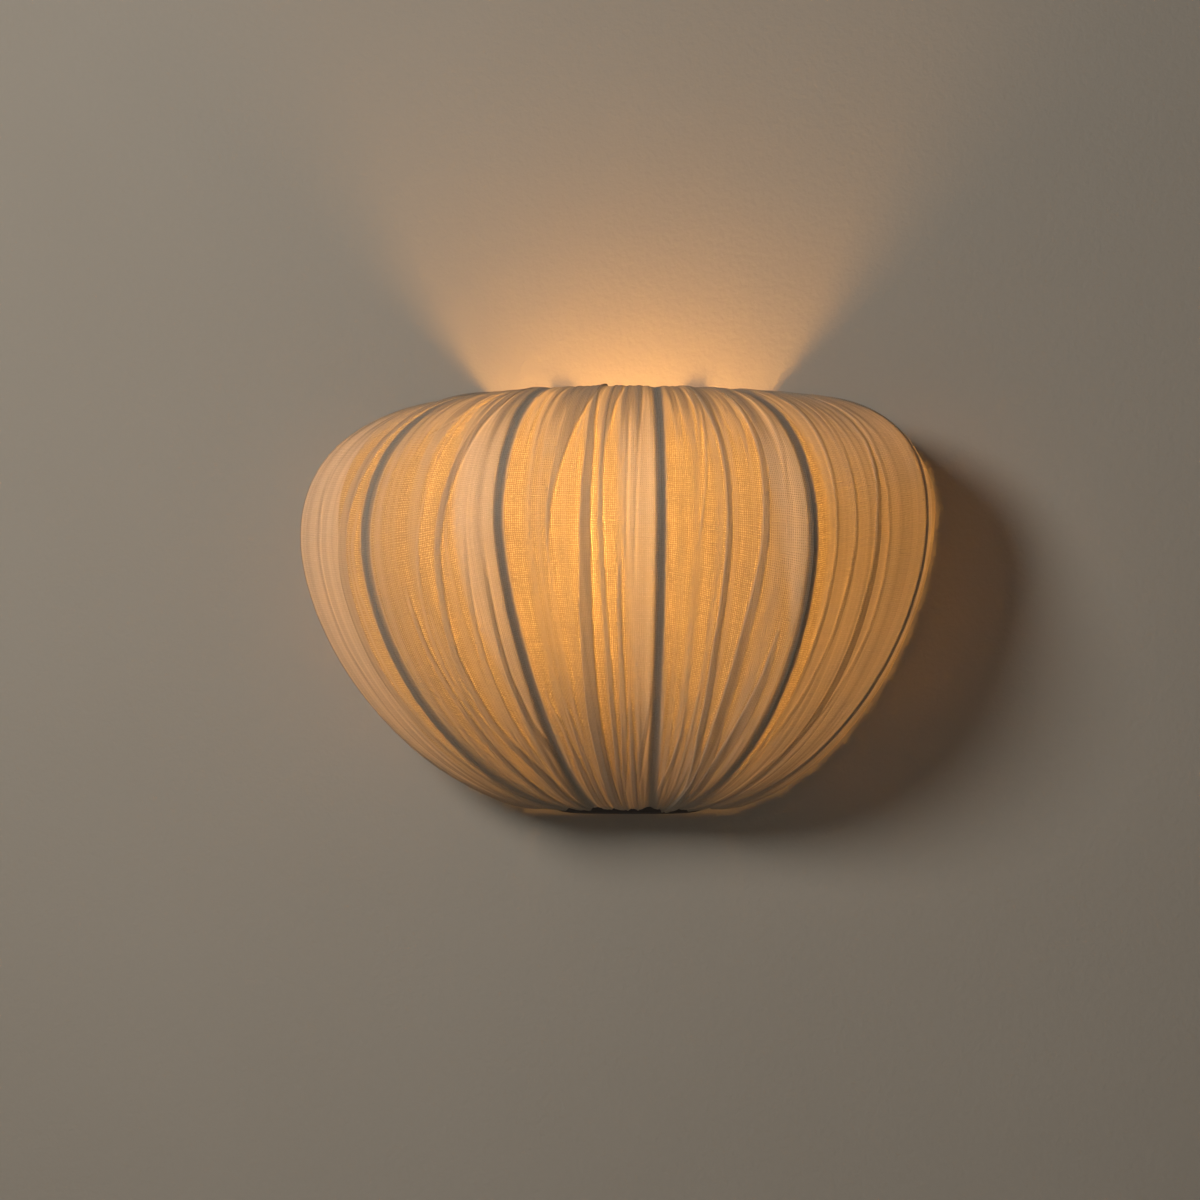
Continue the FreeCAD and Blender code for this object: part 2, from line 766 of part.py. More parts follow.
def side_contact():
    """The strip that joins the other lead to the screw sleeve."""
    base = insert_base + insert_floor
    depth = (-lamp_from_wall - contact_width / 2, -lamp_from_wall + contact_width / 2)
    outside = sleeve_diameter / 2 + sleeve_wall + 0.05
    foot = box((lead_spacing / 2 - contact_width / 4, outside + contact_thickness), depth, (base, contact_top))
    leg = box((outside, outside + contact_thickness), depth, (base, sleeve_base + 1.5))
    return foot.fuse(leg).removeSplitter()


def holder_thread():
    """The metal screw sleeve."""
    inner = sleeve_diameter / 2
    top = sleeve_base + sleeve_height
    return turned(((inner, sleeve_base), (inner + sleeve_wall, sleeve_base), (inner + sleeve_wall, top),
                   (inner, top)))


def holder_skirt():
    """The upper half of the lampholder, round the sleeve."""
    base = holder_base + holder_cap_height + hem_gap
    top = base + holder_skirt_height
    step = sleeve_base + 2.0
    wide = insert_bore / 2 + 0.2
    narrow = sleeve_diameter / 2 + sleeve_wall + 0.15
    return turned(((holder_diameter / 2, base), (holder_mouth_diameter / 2, top), (narrow, top),
                   (narrow, step), (wide, step), (wide, base)))


# The bulb

def bulb_cap():
    """The screw cap, with rounded rings for its thread."""
    crest = cap_diameter / 2
    root = crest - thread_depth
    between = (crest + root) / 2
    top = cap_base + cap_length
    thread_base = cap_base + 2.0

    def spot(radius, height):
        return V(radius, -lamp_from_wall, level(height))

    edges = [Part.LineSegment(spot(root - cap_wall, cap_base), spot(root, cap_base)).toShape(),
             Part.LineSegment(spot(root, cap_base), spot(between, thread_base)).toShape()]
    half = thread_pitch / 2
    for number in range(2 * thread_turns):
        low = thread_base + number * half
        peak = crest if number % 2 == 0 else root
        edges.append(Part.Arc(spot(between, low), spot(peak, low + half / 2), spot(between, low + half)).toShape())
    thread_top = thread_base + 2 * thread_turns * half
    edges.append(Part.LineSegment(spot(between, thread_top), spot(between, top)).toShape())
    edges.append(Part.LineSegment(spot(between, top), spot(root - cap_wall, top)).toShape())
    edges.append(Part.LineSegment(spot(root - cap_wall, top), spot(root - cap_wall, cap_base)).toShape())
    return Part.Face(Part.Wire(edges)).revolve(V(0, -lamp_from_wall, 0), UP, 360)


collar_base = cap_base + cap_length
collar_top = globe_height - globe_mouth_drop
globe_inner = globe_diameter / 2 - globe_wall
mouth_outer = math.sqrt((globe_diameter / 2) ** 2 - globe_mouth_drop ** 2)
mouth_inner = math.sqrt(globe_inner ** 2 - globe_mouth_drop ** 2)


def bulb_insulator():
    """The black insulator between the cap and the button."""
    wide = cap_diameter / 2 - thread_depth
    base = button_base + button_height / 2
    top = cap_base - 0.1
    hole = button_diameter / 2 + 0.05
    seat = button_base + button_height + 0.05
    return turned(((hole, base), (wide * 0.7, base + 0.4), (wide, top), (0, top), (0, seat), (hole, seat)))


def bulb_contact():
    """The button at the foot of the bulb."""
    base = V(0, -lamp_from_wall, level(button_base))
    button = rod(button_diameter, base, UP, button_height)
    rim = [edge for edge in button.Edges if abs(edge.CenterOfMass.z - level(button_base)) < 1e-6]
    return button.makeFillet(button_height * 0.3, rim)


def bulb_collar():
    """The moulded collar between the cap and the globe."""
    narrow = cap_diameter / 2 + 1.2
    bore = cap_diameter / 2 - thread_depth - cap_wall
    return turned(((bore, collar_base), (narrow, collar_base), (narrow + 0.8, collar_base + 3.5),
                   (mouth_outer, collar_top), (mouth_inner - 3.0, collar_top), (bore, collar_base + 2.0)))


def bulb_globe():
    """The opal globe, open where it sits on the collar."""
    centre = V(0, -lamp_from_wall, level(globe_height))
    shell = Part.makeSphere(globe_diameter / 2, centre).cut(Part.makeSphere(globe_inner, centre))
    below = rod(2 * globe_diameter, V(0, -lamp_from_wall, level(collar_top - globe_diameter)), UP, globe_diameter)
    return shell.cut(below)


def bulb_led_board():
    """The round board with the light chips."""
    return rod(2 * mouth_inner - 1.2, V(0, -lamp_from_wall, level(collar_top)), UP, board_thickness)


def bulb_driver():
    """The small power supply inside the cap and collar."""
    room = (cap_diameter / 2 - thread_depth - cap_wall - 0.25) * math.sqrt(2)
    return box((-room / 2, room / 2), (-lamp_from_wall - room / 2, -lamp_from_wall + room / 2),
               (cap_base + cap_length * 0.4, collar_base + 2.0))


# Terminals and leads

def pole_places():
    """Where the three poles of the terminal block are, across the light."""
    return [number * terminal_pitch for number in (-1, 0, 1)]


terminal_block_top = terminal_block_bottom + terminal_block_height
terminal_front = plate_thickness + terminal_block_depth
terminal_screw_length = terminal_block_depth - terminal_wire_depth - lead_diameter / 2 - 0.15
terminal_screw_heights = (terminal_block_bottom + terminal_screw_inset,
                          terminal_block_top - terminal_screw_inset)


def terminal_block():
    """The three-pole block."""
    body = box((-terminal_block_width / 2, terminal_block_width / 2), (-terminal_front, -plate_thickness),
               (terminal_block_bottom, terminal_block_top))
    entry = lead_diameter + 2 * lead_clearance
    for across in pole_places():
        for foot in (terminal_block_bottom, terminal_block_top - terminal_entry_depth):
            start = V(across, -terminal_wire_from_wall, level(foot))
            body = body.cut(rod(entry, start, UP, terminal_entry_depth))
        for height in terminal_screw_heights:
            start = V(across, -terminal_front, level(height))
            hole = terminal_screw_diameter + 2 * screw_clearance
            body = body.cut(rod(hole, start, OUT * -1, terminal_screw_length))
    across = block_screw_across
    bore = wall_drill(block_screw_diameter + 2 * screw_clearance, across, block_screw_height, terminal_front)
    sink = rod(2 * block_screw_diameter, V(across, -terminal_front, level(block_screw_height)),
               OUT * -1, terminal_block_depth / 3)
    return body.cut(bore).cut(sink)


def terminal_screws():
    """The clamp screws of the block, two for each pole."""
    screws = []
    for across in pole_places():
        for height in terminal_screw_heights:
            start = V(across, -terminal_front, level(height))
            screw = rod(terminal_screw_diameter, start, OUT * -1, terminal_screw_length)
            slot = box((across - terminal_screw_diameter, across + terminal_screw_diameter),
                       (-terminal_front, -terminal_front + 0.8), (height - 0.3, height + 0.3))
            screws.append(screw.cut(slot))
    return Part.makeCompound(screws)


def block_screw():
    """The screw through the middle of the block."""
    seat = terminal_front - terminal_block_depth / 3
    return pan_screw(block_screw_across, block_screw_height, 0, seat, block_screw_diameter,
                     block_screw_diameter * 1.8, block_screw_diameter * 0.7)


def lead(pole, side):
    """A lead from its pole, down into the arm, along it and up through the nipple to the insert."""
    beside = side * lead_spacing / 2
    depth = -terminal_wire_from_wall
    drop = terminal_block_bottom - (arm_height + arm_diameter / 2)
    points = [
        V(pole, depth, level(terminal_block_bottom + lead_grip)),
        V(pole, depth, level(terminal_block_bottom - drop * 0.35)),
        V(beside, depth, level(terminal_block_bottom - drop * 0.80)),
        V(beside, depth, level(arm_height)),
        V(beside, -lamp_from_wall, level(arm_height)),
        V(beside, -lamp_from_wall, level(insert_base + insert_floor - 0.1)),
    ]
    edges = rounded_path(points, (2.5, 2.5, 3.5, 4.0))
    return tube_along(edges, lead_diameter / 2, points[0], UP * -1)


def earth_lug():
    """The crimped lug under the earth screw."""
    face = V(earth_screw_side, -plate_thickness, level(earth_screw_height))
    ring_plate = rod(earth_screw_head + 1.5, face, OUT, earth_lug_thickness)
    barrel_start = earth_screw_side - earth_screw_head - 2.5
    barrel_depth = plate_thickness + lead_diameter / 2 + 0.9
    axis = V(barrel_start, -barrel_depth, level(earth_screw_height))
    barrel = rod(lead_diameter + 1.6, axis, V(1, 0, 0), 5.0)
    tail = box((barrel_start + 3.0, earth_screw_side), (-plate_thickness - earth_lug_thickness, -plate_thickness),
               (earth_screw_height - 1.6, earth_screw_height + 1.6))
    body = ring_plate.fuse(barrel).fuse(tail)
    behind = box((0, plate_width), (-plate_thickness, plate_thickness), (plate_bottom, plate_top))
    body = body.cut(behind).cut(rod(lead_diameter + 2 * lead_clearance, axis, V(1, 0, 0), 3.0))
    hole = wall_drill(earth_screw_diameter + 2 * screw_clearance, earth_screw_side, earth_screw_height,
                      terminal_front)
    return body.cut(hole).removeSplitter()


def earth_wire():
    """The short wire from the middle pole's neighbour to the lug."""
    barrel_start = earth_screw_side - earth_screw_head - 2.5
    barrel_depth = plate_thickness + lead_diameter / 2 + 0.9
    pole = terminal_pitch
    points = [
        V(pole, -terminal_wire_from_wall, level(terminal_block_bottom + lead_grip)),
        V(pole, -terminal_wire_from_wall, level(earth_screw_height)),
        V(pole + 6.5, -barrel_depth, level(earth_screw_height)),
        V(barrel_start + 2.8, -barrel_depth, level(earth_screw_height)),
    ]
    return tube_along(rounded_path(points, (2.5, 2.5)), lead_diameter / 2, points[0], UP * -1)


def earth_screw():
    """The earth screw, on the lug."""
    return pan_screw(earth_screw_side, earth_screw_height, 0, plate_thickness + earth_lug_thickness,
                     earth_screw_diameter, earth_screw_head, earth_screw_head_height)


# Build every node

os.makedirs("parts", exist_ok=True)

save("wall_plate", wall_plate())
save("cable_grommet", cable_grommet())
save("terminal_block", terminal_block())
save("terminal_screws", terminal_screws())
save("block_screw", block_screw())
save("earth_screw", earth_screw())
save("earth_lug", earth_lug())
save("earth_wire", earth_wire())
save("live_wire", lead(-terminal_pitch, -1))
save("neutral_wire", lead(0, 1))
save("arm_flange", arm_flange())
save("arm_screws", arm_screws())
save("arm_tube", arm_tube())
save("arm_elbow", arm_elbow())
save("threaded_nipple", threaded_nipple())
save("holder_nut", holder_nut())
save("holder_cap", holder_cap())
save("holder_insert", holder_insert())
save("centre_contact", centre_contact())
save("side_contact", side_contact())
save("holder_thread", holder_thread())
save("holder_skirt", holder_skirt())

save("bulb_cap", bulb_cap())
save("bulb_insulator", bulb_insulator())
save("bulb_contact", bulb_contact())
save("bulb_collar", bulb_collar())
save("bulb_driver", bulb_driver())
save("bulb_led_board", bulb_led_board())
save("bulb_globe", bulb_globe())

save("back_frame", back_frame())
hoop_room = wire_radius + weld_gap
hoop_cutters = []
for hoop_line in hoop_lines:
    hoop_cutters.append(bar_on_path(wire_path(hoop_line), hoop_room))
for bar_height, bar_half_width in ((top_ring_height, top_ring_half_width),
                                   (bottom_ring_height, bottom_ring_half_width)):
    hoop_cutters.append(rod(2 * hoop_room, V(-bar_half_width, -hoop_from_wall, level(bar_height)),
                            V(1, 0, 0), 2 * bar_half_width))
hoop_cutter = Part.makeCompound(hoop_cutters)
save("top_ring", ring(top_ring_line, hoop_cutter))
save("bottom_ring", ring(bottom_ring_line, hoop_cutter))
ring_cutters = [bar_on_path(line, hoop_room) for line in (top_ring_line, bottom_ring_line)]
for rib_name, rib_line in rib_lines:
    save(rib_name, rib(rib_line, ring_cutters))

fan = sorted([line for name, line in rib_lines] + hoop_lines, key=lambda line: line["turn"])
for (panel_name, folds), left_line, right_line in zip(panel_folds, fan, fan[1:]):
    save("cloth_" + panel_name, cloth_panel(left_line, right_line, folds))
rib_room = [bar_on_path(wire_path(line), hem_inner_radius) for name, line in rib_lines]
strap_room = box((-strap_width / 2 - hem_gap, strap_width / 2 + hem_gap), (-lamp_from_wall, 0),
                 (strap_base - hem_gap, 2 * boss_top))
save("top_hem", ring_hem(top_ring_line, rib_room))
save("bottom_hem", ring_hem(bottom_ring_line, rib_room + [strap_room]))
save("left_edge_hem", edge_hem(hoop_lines[0]))
save("right_edge_hem", edge_hem(hoop_lines[1]))
save("bottom_strap", bottom_strap())
save("bottom_plate", bottom_plate())
save("bottom_screw", bottom_screw(0.0))
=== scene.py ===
import json
import math

import bmesh
import bpy
import numpy as np
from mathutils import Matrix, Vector


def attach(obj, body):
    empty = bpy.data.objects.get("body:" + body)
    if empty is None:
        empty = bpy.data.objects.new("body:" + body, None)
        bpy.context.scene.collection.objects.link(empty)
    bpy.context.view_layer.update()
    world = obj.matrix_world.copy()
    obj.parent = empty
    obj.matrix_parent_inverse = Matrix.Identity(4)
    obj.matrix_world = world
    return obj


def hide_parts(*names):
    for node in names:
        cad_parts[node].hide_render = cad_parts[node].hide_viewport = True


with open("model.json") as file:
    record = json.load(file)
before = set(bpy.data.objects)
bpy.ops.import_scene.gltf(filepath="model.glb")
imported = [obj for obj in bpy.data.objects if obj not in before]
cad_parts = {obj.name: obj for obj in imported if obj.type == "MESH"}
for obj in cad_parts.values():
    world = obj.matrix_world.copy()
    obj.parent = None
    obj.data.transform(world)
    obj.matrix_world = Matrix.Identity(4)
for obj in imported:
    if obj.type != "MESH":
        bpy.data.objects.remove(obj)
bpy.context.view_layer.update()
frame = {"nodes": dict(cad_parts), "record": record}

# The scene is in metres. Sizes here are written in millimetres, with heights counted from the underside
# of the shade's bottom plate, as a maker would measure them, and mm() turns them into the scene's units.
MOUNT_HEIGHT = 151.0
WIRE_RADIUS = 2.0
HOOP_FROM_WALL = 5.0
CLOTH_FROM_WIRE = 2.9
FULLNESS = 1.12

# Each half oval ring's half width, depth and height.
TOP_RING = (84.0, 104.5, 252.5)
BOTTOM_RING = (60.0, 27.5, 7.5)

# Wires of the shade from left to right: degrees on the bottom ring and on the top ring, how far the wire
# reaches from the bottom ring and at which height, and how full it is below and above that.
WIRES = (
    ("hoop_left", -90.0, -90.0, 127.5, 186.0, 1.71, 2.25),
    ("left_outer", -55.5, -73.0, 153.5, 168.0, 1.72, 2.27),
    ("left_middle", -32.0, -49.0, 172.0, 160.0, 1.72, 2.10),
    ("left_inner", -16.0, -20.5, 170.0, 171.0, 1.43, 1.93),
    ("right_inner", 16.0, 20.5, 170.0, 171.0, 1.43, 1.93),
    ("right_middle", 32.0, 49.0, 172.0, 160.0, 1.72, 2.10),
    ("right_outer", 56.0, 73.1, 155.0, 174.0, 1.72, 2.75),
    ("hoop_right", 90.0, 90.0, 127.5, 186.0, 1.71, 2.25),
)


# Camera: degrees round the light and above it, metres away, the spot it looks at, its lens and its sensor in
# millimetres, and the photograph's side in pixels
CAMERA_AZIMUTH = 8.75
CAMERA_ELEVATION = -2.5
CAMERA_DISTANCE = 2.4
CAMERA_AIM = (-0.019, 0.0, -0.01775)
LENS = 115.2
SENSOR = 36.0
PHOTO_SIDE = 1200


def camera_back():
    """The direction from the spot that the camera looks at back to the camera."""
    azimuth, elevation = math.radians(CAMERA_AZIMUTH), math.radians(CAMERA_ELEVATION)
    return Vector((math.sin(azimuth) * math.cos(elevation), -math.cos(azimuth) * math.cos(elevation),
                   math.sin(elevation)))


def set_camera():
    """A long lens at the photograph's angle, a little to the right and a little below."""
    back = camera_back()
    data = bpy.data.cameras.new("camera")
    data.lens = LENS
    data.sensor_width = SENSOR
    camera = bpy.data.objects.new("camera", data)
    camera.location = Vector(CAMERA_AIM) + back * CAMERA_DISTANCE
    camera.rotation_mode = "QUATERNION"
    camera.rotation_quaternion = (-back).to_track_quat("-Z", "Y")
    bpy.context.scene.collection.objects.link(camera)
    bpy.context.scene.camera = camera


# Meshes

def mm(points):
    """Points in millimetres, with heights from the bottom plate, as metres in the scene."""
    points = np.asarray(points, float)
    return (points - np.array((0.0, 0.0, MOUNT_HEIGHT))) / 1000.0


def add_piece(name, points, faces, material, smooth=True):
    """A mesh piece from points in millimetres."""
    mesh = bpy.data.meshes.new(name)
    corners = [tuple(int(corner) for corner in face) for face in faces]
    mesh.from_pydata([tuple(point) for point in mm(points)], [], corners)
    mesh.update()
    if smooth:
        mesh.polygons.foreach_set("use_smooth", [True] * len(mesh.polygons))
    mesh.materials.append(material)
    piece = bpy.data.objects.new(name, mesh)
    bpy.context.scene.collection.objects.link(piece)
    return piece


def grid_faces(rows, columns, closed=False):
    """Quads of a grid, whose columns may close round on themselves."""
    steps = columns if closed else columns - 1
    row, column = np.meshgrid(np.arange(rows - 1), np.arange(steps), indexing="ij")
    here = row * columns + column
    beside = row * columns + (column + 1) % columns
    return np.stack((here, beside, beside + columns, here + columns), axis=-1).reshape(-1, 4)


def point_value(piece, name, values):
    """A named number on each point of a piece."""
    layer = piece.data.attributes.new(name, "FLOAT", "POINT")
    layer.data.foreach_set("value", np.asarray(values, np.float32).ravel())


def cloth_map(piece, across, along):
    """The UV map of a piece of cloth, in metres along its threads."""
    layer = piece.data.uv_layers.new(name="threads")
    corners = np.zeros(len(piece.data.loops), int)
    piece.data.loops.foreach_get("vertex_index", corners)
    flat = np.stack((np.ravel(across)[corners], np.ravel(along)[corners]), axis=-1)
    layer.data.foreach_set("uv", flat.astype(np.float32).ravel())


# The wires' curves, as the shade's frame is bent

def ring_spot(turn, ring):
    """A point of a half oval ring in plan, at a turn of -90 (left end) to 90 (right end)."""
    angle = math.radians(turn)
    return np.array((ring[0] * math.sin(angle), -HOOP_FROM_WALL - ring[1] * math.cos(angle), 0.0))


def wire(name, bottom_turn, top_turn, widest, at, belly, crown):
    """One upright wire, which stands on a point of each ring."""
    foot = ring_spot(bottom_turn, BOTTOM_RING)
    outward = ring_spot(top_turn, TOP_RING) - foot
    top_distance = float(np.linalg.norm(outward))
    return {"name": name, "foot": foot, "outward": outward / top_distance, "top_distance": top_distance,
            "widest": widest, "at": at, "belly": belly, "crown": crown}


def wire_spots(line, turns, skin):
    """Points of a wire's curve at turns of -90 (bottom ring) to 90 (top ring), a skin's distance outside the
    wire's middle."""
    turns = np.clip(np.asarray(turns, float), -89.5, 89.5)
    above = turns >= 0
    sweep = np.radians(np.abs(turns))
    power = 2 / np.where(above, line["crown"], line["belly"])
    ring_distance = np.where(above, line["top_distance"], 0.0)
    reach = line["widest"] - ring_distance
    span = np.where(above, TOP_RING[2] - line["at"], line["at"] - BOTTOM_RING[2])
    cosine, sine = np.cos(sweep), np.maximum(np.sin(sweep), 1e-6)
    distance = ring_distance + reach * cosine ** power
    height = line["at"] + np.where(above, 1, -1) * span * sine ** power
    inward = -reach * cosine ** (power - 1) * np.sin(sweep)
    upward = span * sine ** (power - 1) * cosine
    length = np.hypot(inward, upward)
    distance = distance + skin * upward / length
    height = height - np.where(above, 1, -1) * skin * inward / length
    return line["foot"] + distance[:, None] * line["outward"] + height[:, None] * np.array((0.0, 0.0, 1.0))


LINES = [wire(*values) for values in WIRES]


# Cloth

PANEL_ROWS = 176
GRID_STEP = 0.5
MIDDLE_SKIN = 3.5


def even_turns(left, right, count, skin=MIDDLE_SKIN):
    """Turns that divide the middle of a panel evenly from hem to hem, and its length."""
    fine = np.linspace(-90, 90, 721)
    middle = (wire_spots(left, fine, skin) + wire_spots(right, fine, skin)) / 2
    steps = np.linalg.norm(np.diff(middle, axis=0), axis=1)
    along = np.concatenate(([0.0], np.cumsum(steps)))
    return np.interp(np.linspace(0, along[-1], count), along, fine), along[-1]


def smooth_step(low, high, value):
    """0 below one value and 1 above another, smooth in between."""
    share = np.clip((value - low) / (high - low), 0, 1)
    return share * share * (3 - 2 * share)


def wander(values, seed, waves=5):
    """A slow, repeatable wave between about -1 and 1."""
    chance = np.random.RandomState(seed)
    total = np.zeros_like(values, float)
    for number in range(waves):
        total += chance.uniform(0.4, 1.0) * np.sin(values * chance.uniform(0.6, 1.6) * (number + 1)
                                                   + chance.uniform(0, 2 * math.pi))
    return total / waves * 1.6


def surface_normals(points):
    """Outward unit normals of a grid of points, given as rows up and columns to the right."""
    up = np.gradient(points, axis=0)
    across = np.gradient(points, axis=1)
    normals = np.cross(across, up)
    return normals / np.maximum(np.linalg.norm(normals, axis=2, keepdims=True), 1e-9)


def fine_gathers(share, along, local, width, seed, count):
    """Small folds that start at one hem or both and run out towards the widest part: their rise in
    millimetres and their extra layers."""
    chance = np.random.RandomState(seed)
    rise = np.zeros_like(share)
    cover = np.zeros_like(share)
    for number in range(count):
        centre = (number + chance.uniform(0.1, 0.9)) / count
        centre = centre + 0.02 * wander(along * 2.5, seed * 100 + number, 3)
        wide = chance.uniform(1.2, 3.4) * (0.6 + 0.4 * local / width)
        foot, head = chance.uniform(0.10, 0.55), chance.uniform(0.08, 0.45)
        through = chance.uniform() < 0.3
        reach = smooth_step(foot, foot * 0.35, along) + smooth_step(1 - head, 1 - head * 0.35, along)
        reach = np.clip(reach + (0.45 if through else 0.10), 0, 1)
        away = (share - centre) * local / wide
        ridge = np.exp(-away * away * 2.2) * reach * chance.uniform(0.5, 1.0)
        rise += 0.38 * ridge
        cover += ridge
    return rise, cover


def streaks(share, along, seed, count):
    """Uneven stripes that run up the cloth, between -1 and 1."""
    depths = np.random.RandomState(seed).uniform(-1, 1, count + 4)
    place = share * count + 1.5 + 0.5 * wander(along * 2.0 + share * 3, seed, 3)
    return np.interp(place, np.arange(count + 4), depths)


def fold_relief(fold, share, along, local, lean):
    """The rise and the extra layers of one pleat on its own line up the panel. Where the pleat stands up from
    the cloth, on the side it leans from, one layer is stretched open and lets more light through."""
    cover, height, line = fold
    line = np.array(line)
    centre = np.interp(along, line[:, 0], line[:, 1])
    width = np.interp(along, line[:, 0], line[:, 2])
    ends = np.ones_like(along)
    if line[0, 0] > 0.2:
        ends = ends * smooth_step(line[0, 0] - 0.05, line[0, 0] + 0.06, along)
    if line[-1, 0] < 0.72:
        ends = ends * (1 - smooth_step(line[-1, 0] - 0.06, line[-1, 0] + 0.05, along))
    away = (share - centre) * local
    inside = smooth_step(width / 2 + 0.5, width / 2 - 0.3, np.abs(away)) * ends
    tilt = 0.65 + 0.7 * np.clip(lean * away / width + 0.5, 0, 1)
    stretched = np.exp(-((away - lean * (width / 2 + 1.2)) / 0.8) ** 2) * ends
    return height * inside * tilt, cover * inside - 1.0 * np.sign(cover) * stretched


# Layers of cloth that lie on each other: in plain cloth, where a panel narrows, along a gather, below the top
# hem (plain, along a gather, along a stripe), in the hem, along a stripe (plain, where a panel narrows), in a
# doubled strip, in a seam beside a wire, and the fewest anywhere
PLAIN_LAYERS = 1.1
CROWDED_LAYERS = 0.45
GATHER_LAYERS = 0.5
TOP_LAYERS = (1.25, 1.6, 1.1)
HEM_LAYERS = 2.2
STRIPE_LAYERS = (0.75, 0.6)
TWOFOLD_LAYERS = 0.45
SEAM_LAYERS = 3.3
FEWEST_LAYERS = 0.45

# Millimetres between small gathers, between broad stripes and between fine ones
GATHER_PITCH = 2.6
BROAD_STRIPE = 3.6
FINE_STRIPE = 1.5

# Millimetres: how high stripes stand, the cloth's mean height, its slow waves, and how far from a wire it
# lies flat; then how much of a pleat's full height shows
STRIPE_HEIGHT = 0.14
MEAN_HEIGHT = 0.7
SLOW_WAVES = 0.3
FLAT_BY_WIRE = 5.0
PLEAT_HEIGHT = 0.55


def panel_grid(left, right, seed, lean, seams, doubled, folds):
    """Points, layers, twofold parts and thread places of one panel of the cloth."""
    turns, length = even_turns(left, right, PANEL_ROWS)
    left_edge = wire_spots(left, turns, CLOTH_FROM_WIRE)
    right_edge = wire_spots(right, turns, CLOTH_FROM_WIRE)
    width = float(np.linalg.norm(right_edge - left_edge, axis=1).max())
    columns = int(width / GRID_STEP)
    share = np.linspace(0, 1, columns)[None, :] * np.ones((PANEL_ROWS, 1))
    along = np.linspace(0, 1, PANEL_ROWS)[:, None] * np.ones((1, columns))
    points = left_edge[:, None, :] * (1 - share[..., None]) + right_edge[:, None, :] * share[..., None]
    local = np.linalg.norm(right_edge - left_edge, axis=1)[:, None] * np.ones((1, columns))
    crowding = width / local - 1
    relief, gathers = fine_gathers(share, along, local, width, seed, int(width / GATHER_PITCH))
    broad = streaks(share, along, seed + 5, int(width / BROAD_STRIPE))
    fine = streaks(share, along, seed + 6, int(width / FINE_STRIPE))
    stripes = 0.6 * broad + 0.4 * fine
    layers = PLAIN_LAYERS + CROWDED_LAYERS * crowding + gathers * GATHER_LAYERS * (1 + crowding)
    near_top = smooth_step(0.70, 0.93, along)
    layers += near_top * (TOP_LAYERS[0] + TOP_LAYERS[1] * gathers + TOP_LAYERS[2] * stripes)
    layers += HEM_LAYERS * smooth_step(0.90, 1.0, along)
    layers += stripes * (STRIPE_LAYERS[0] + STRIPE_LAYERS[1] * crowding)
    relief += STRIPE_HEIGHT * stripes
    for fold in folds:
        rise, cover = fold_relief(fold, share, along, local, lean)
        relief += PLEAT_HEIGHT * rise
        layers += cover
    twofold = np.clip(sum(doubled_cloth(strip, share, along) for strip in doubled), 0, 1)
    layers += TWOFOLD_LAYERS * twofold
    beside_wire = np.minimum(share, 1 - share) * local
    seam = np.where(share < 0.5, seams[0], seams[1])
    relief += MEAN_HEIGHT + SLOW_WAVES * wander(share * 6 + along * 5, seed + 7)
    relief *= smooth_step(0.0, FLAT_BY_WIRE, beside_wire)
    # A seam's extra layers also give the muslin its darker colour for the most layers: painted shade of the
    # wire behind.
    layers += SEAM_LAYERS * smooth_step(seam + 1.8, seam - 1.2, beside_wire)
    points = points + surface_normals(points) * relief[..., None]
    layers = np.maximum(layers, FEWEST_LAYERS)
    return points, layers, twofold, share * width / 1000 * FULLNESS, along * length / 1000


def doubled_cloth(strip, share, along):
    """1 where two layers lie on each other, between two lines up the panel, and 0 beside them."""
    strip = np.array(strip)
    first = np.interp(along, strip[:, 0], strip[:, 1])
    last = np.interp(along, strip[:, 0], strip[:, 2])
    ends = smooth_step(strip[0, 0] - 0.01, strip[0, 0] + 0.1, along)
    ends = ends * (1 - smooth_step(strip[-1, 0] - 0.1, strip[-1, 0] + 0.01, along))
    soft = 0.04
    begun = smooth_step(first - soft, first + soft, share)
    return begun * (1 - smooth_step(last - 0.3 * soft, last + 0.3 * soft, share)) * ends


# Pleats: the rows and columns of a panel that are tried for a spot, how far outside the wires' middle they
# lie, a line's number of spots, how many pixels off its panel a spot may be, and how many columns to each
# side give the panel's scale
TRIED_ROWS = 400
TRIED_COLUMNS = 200
PLEAT_SKIN = 4.2
SPOTS_ON_LINE = 40
PIXELS_OFF_PANEL = 4.0
SCALE_COLUMNS = 5


def photo_places(points):
    """Where the camera sees points in millimetres: pixels down and to the right."""
    ahead = -np.array(camera_back())
    right = np.cross(ahead, (0.0, 0.0, 1.0))
    right /= np.linalg.norm(right)
    up = np.cross(right, ahead)
    seen = mm(points) - (np.array(CAMERA_AIM) - ahead * CAMERA_DISTANCE)
    scale = PHOTO_SIDE * LENS / SENSOR / (seen @ ahead)
    return PHOTO_SIDE / 2 - scale * (seen @ up), PHOTO_SIDE / 2 + scale * (seen @ right)


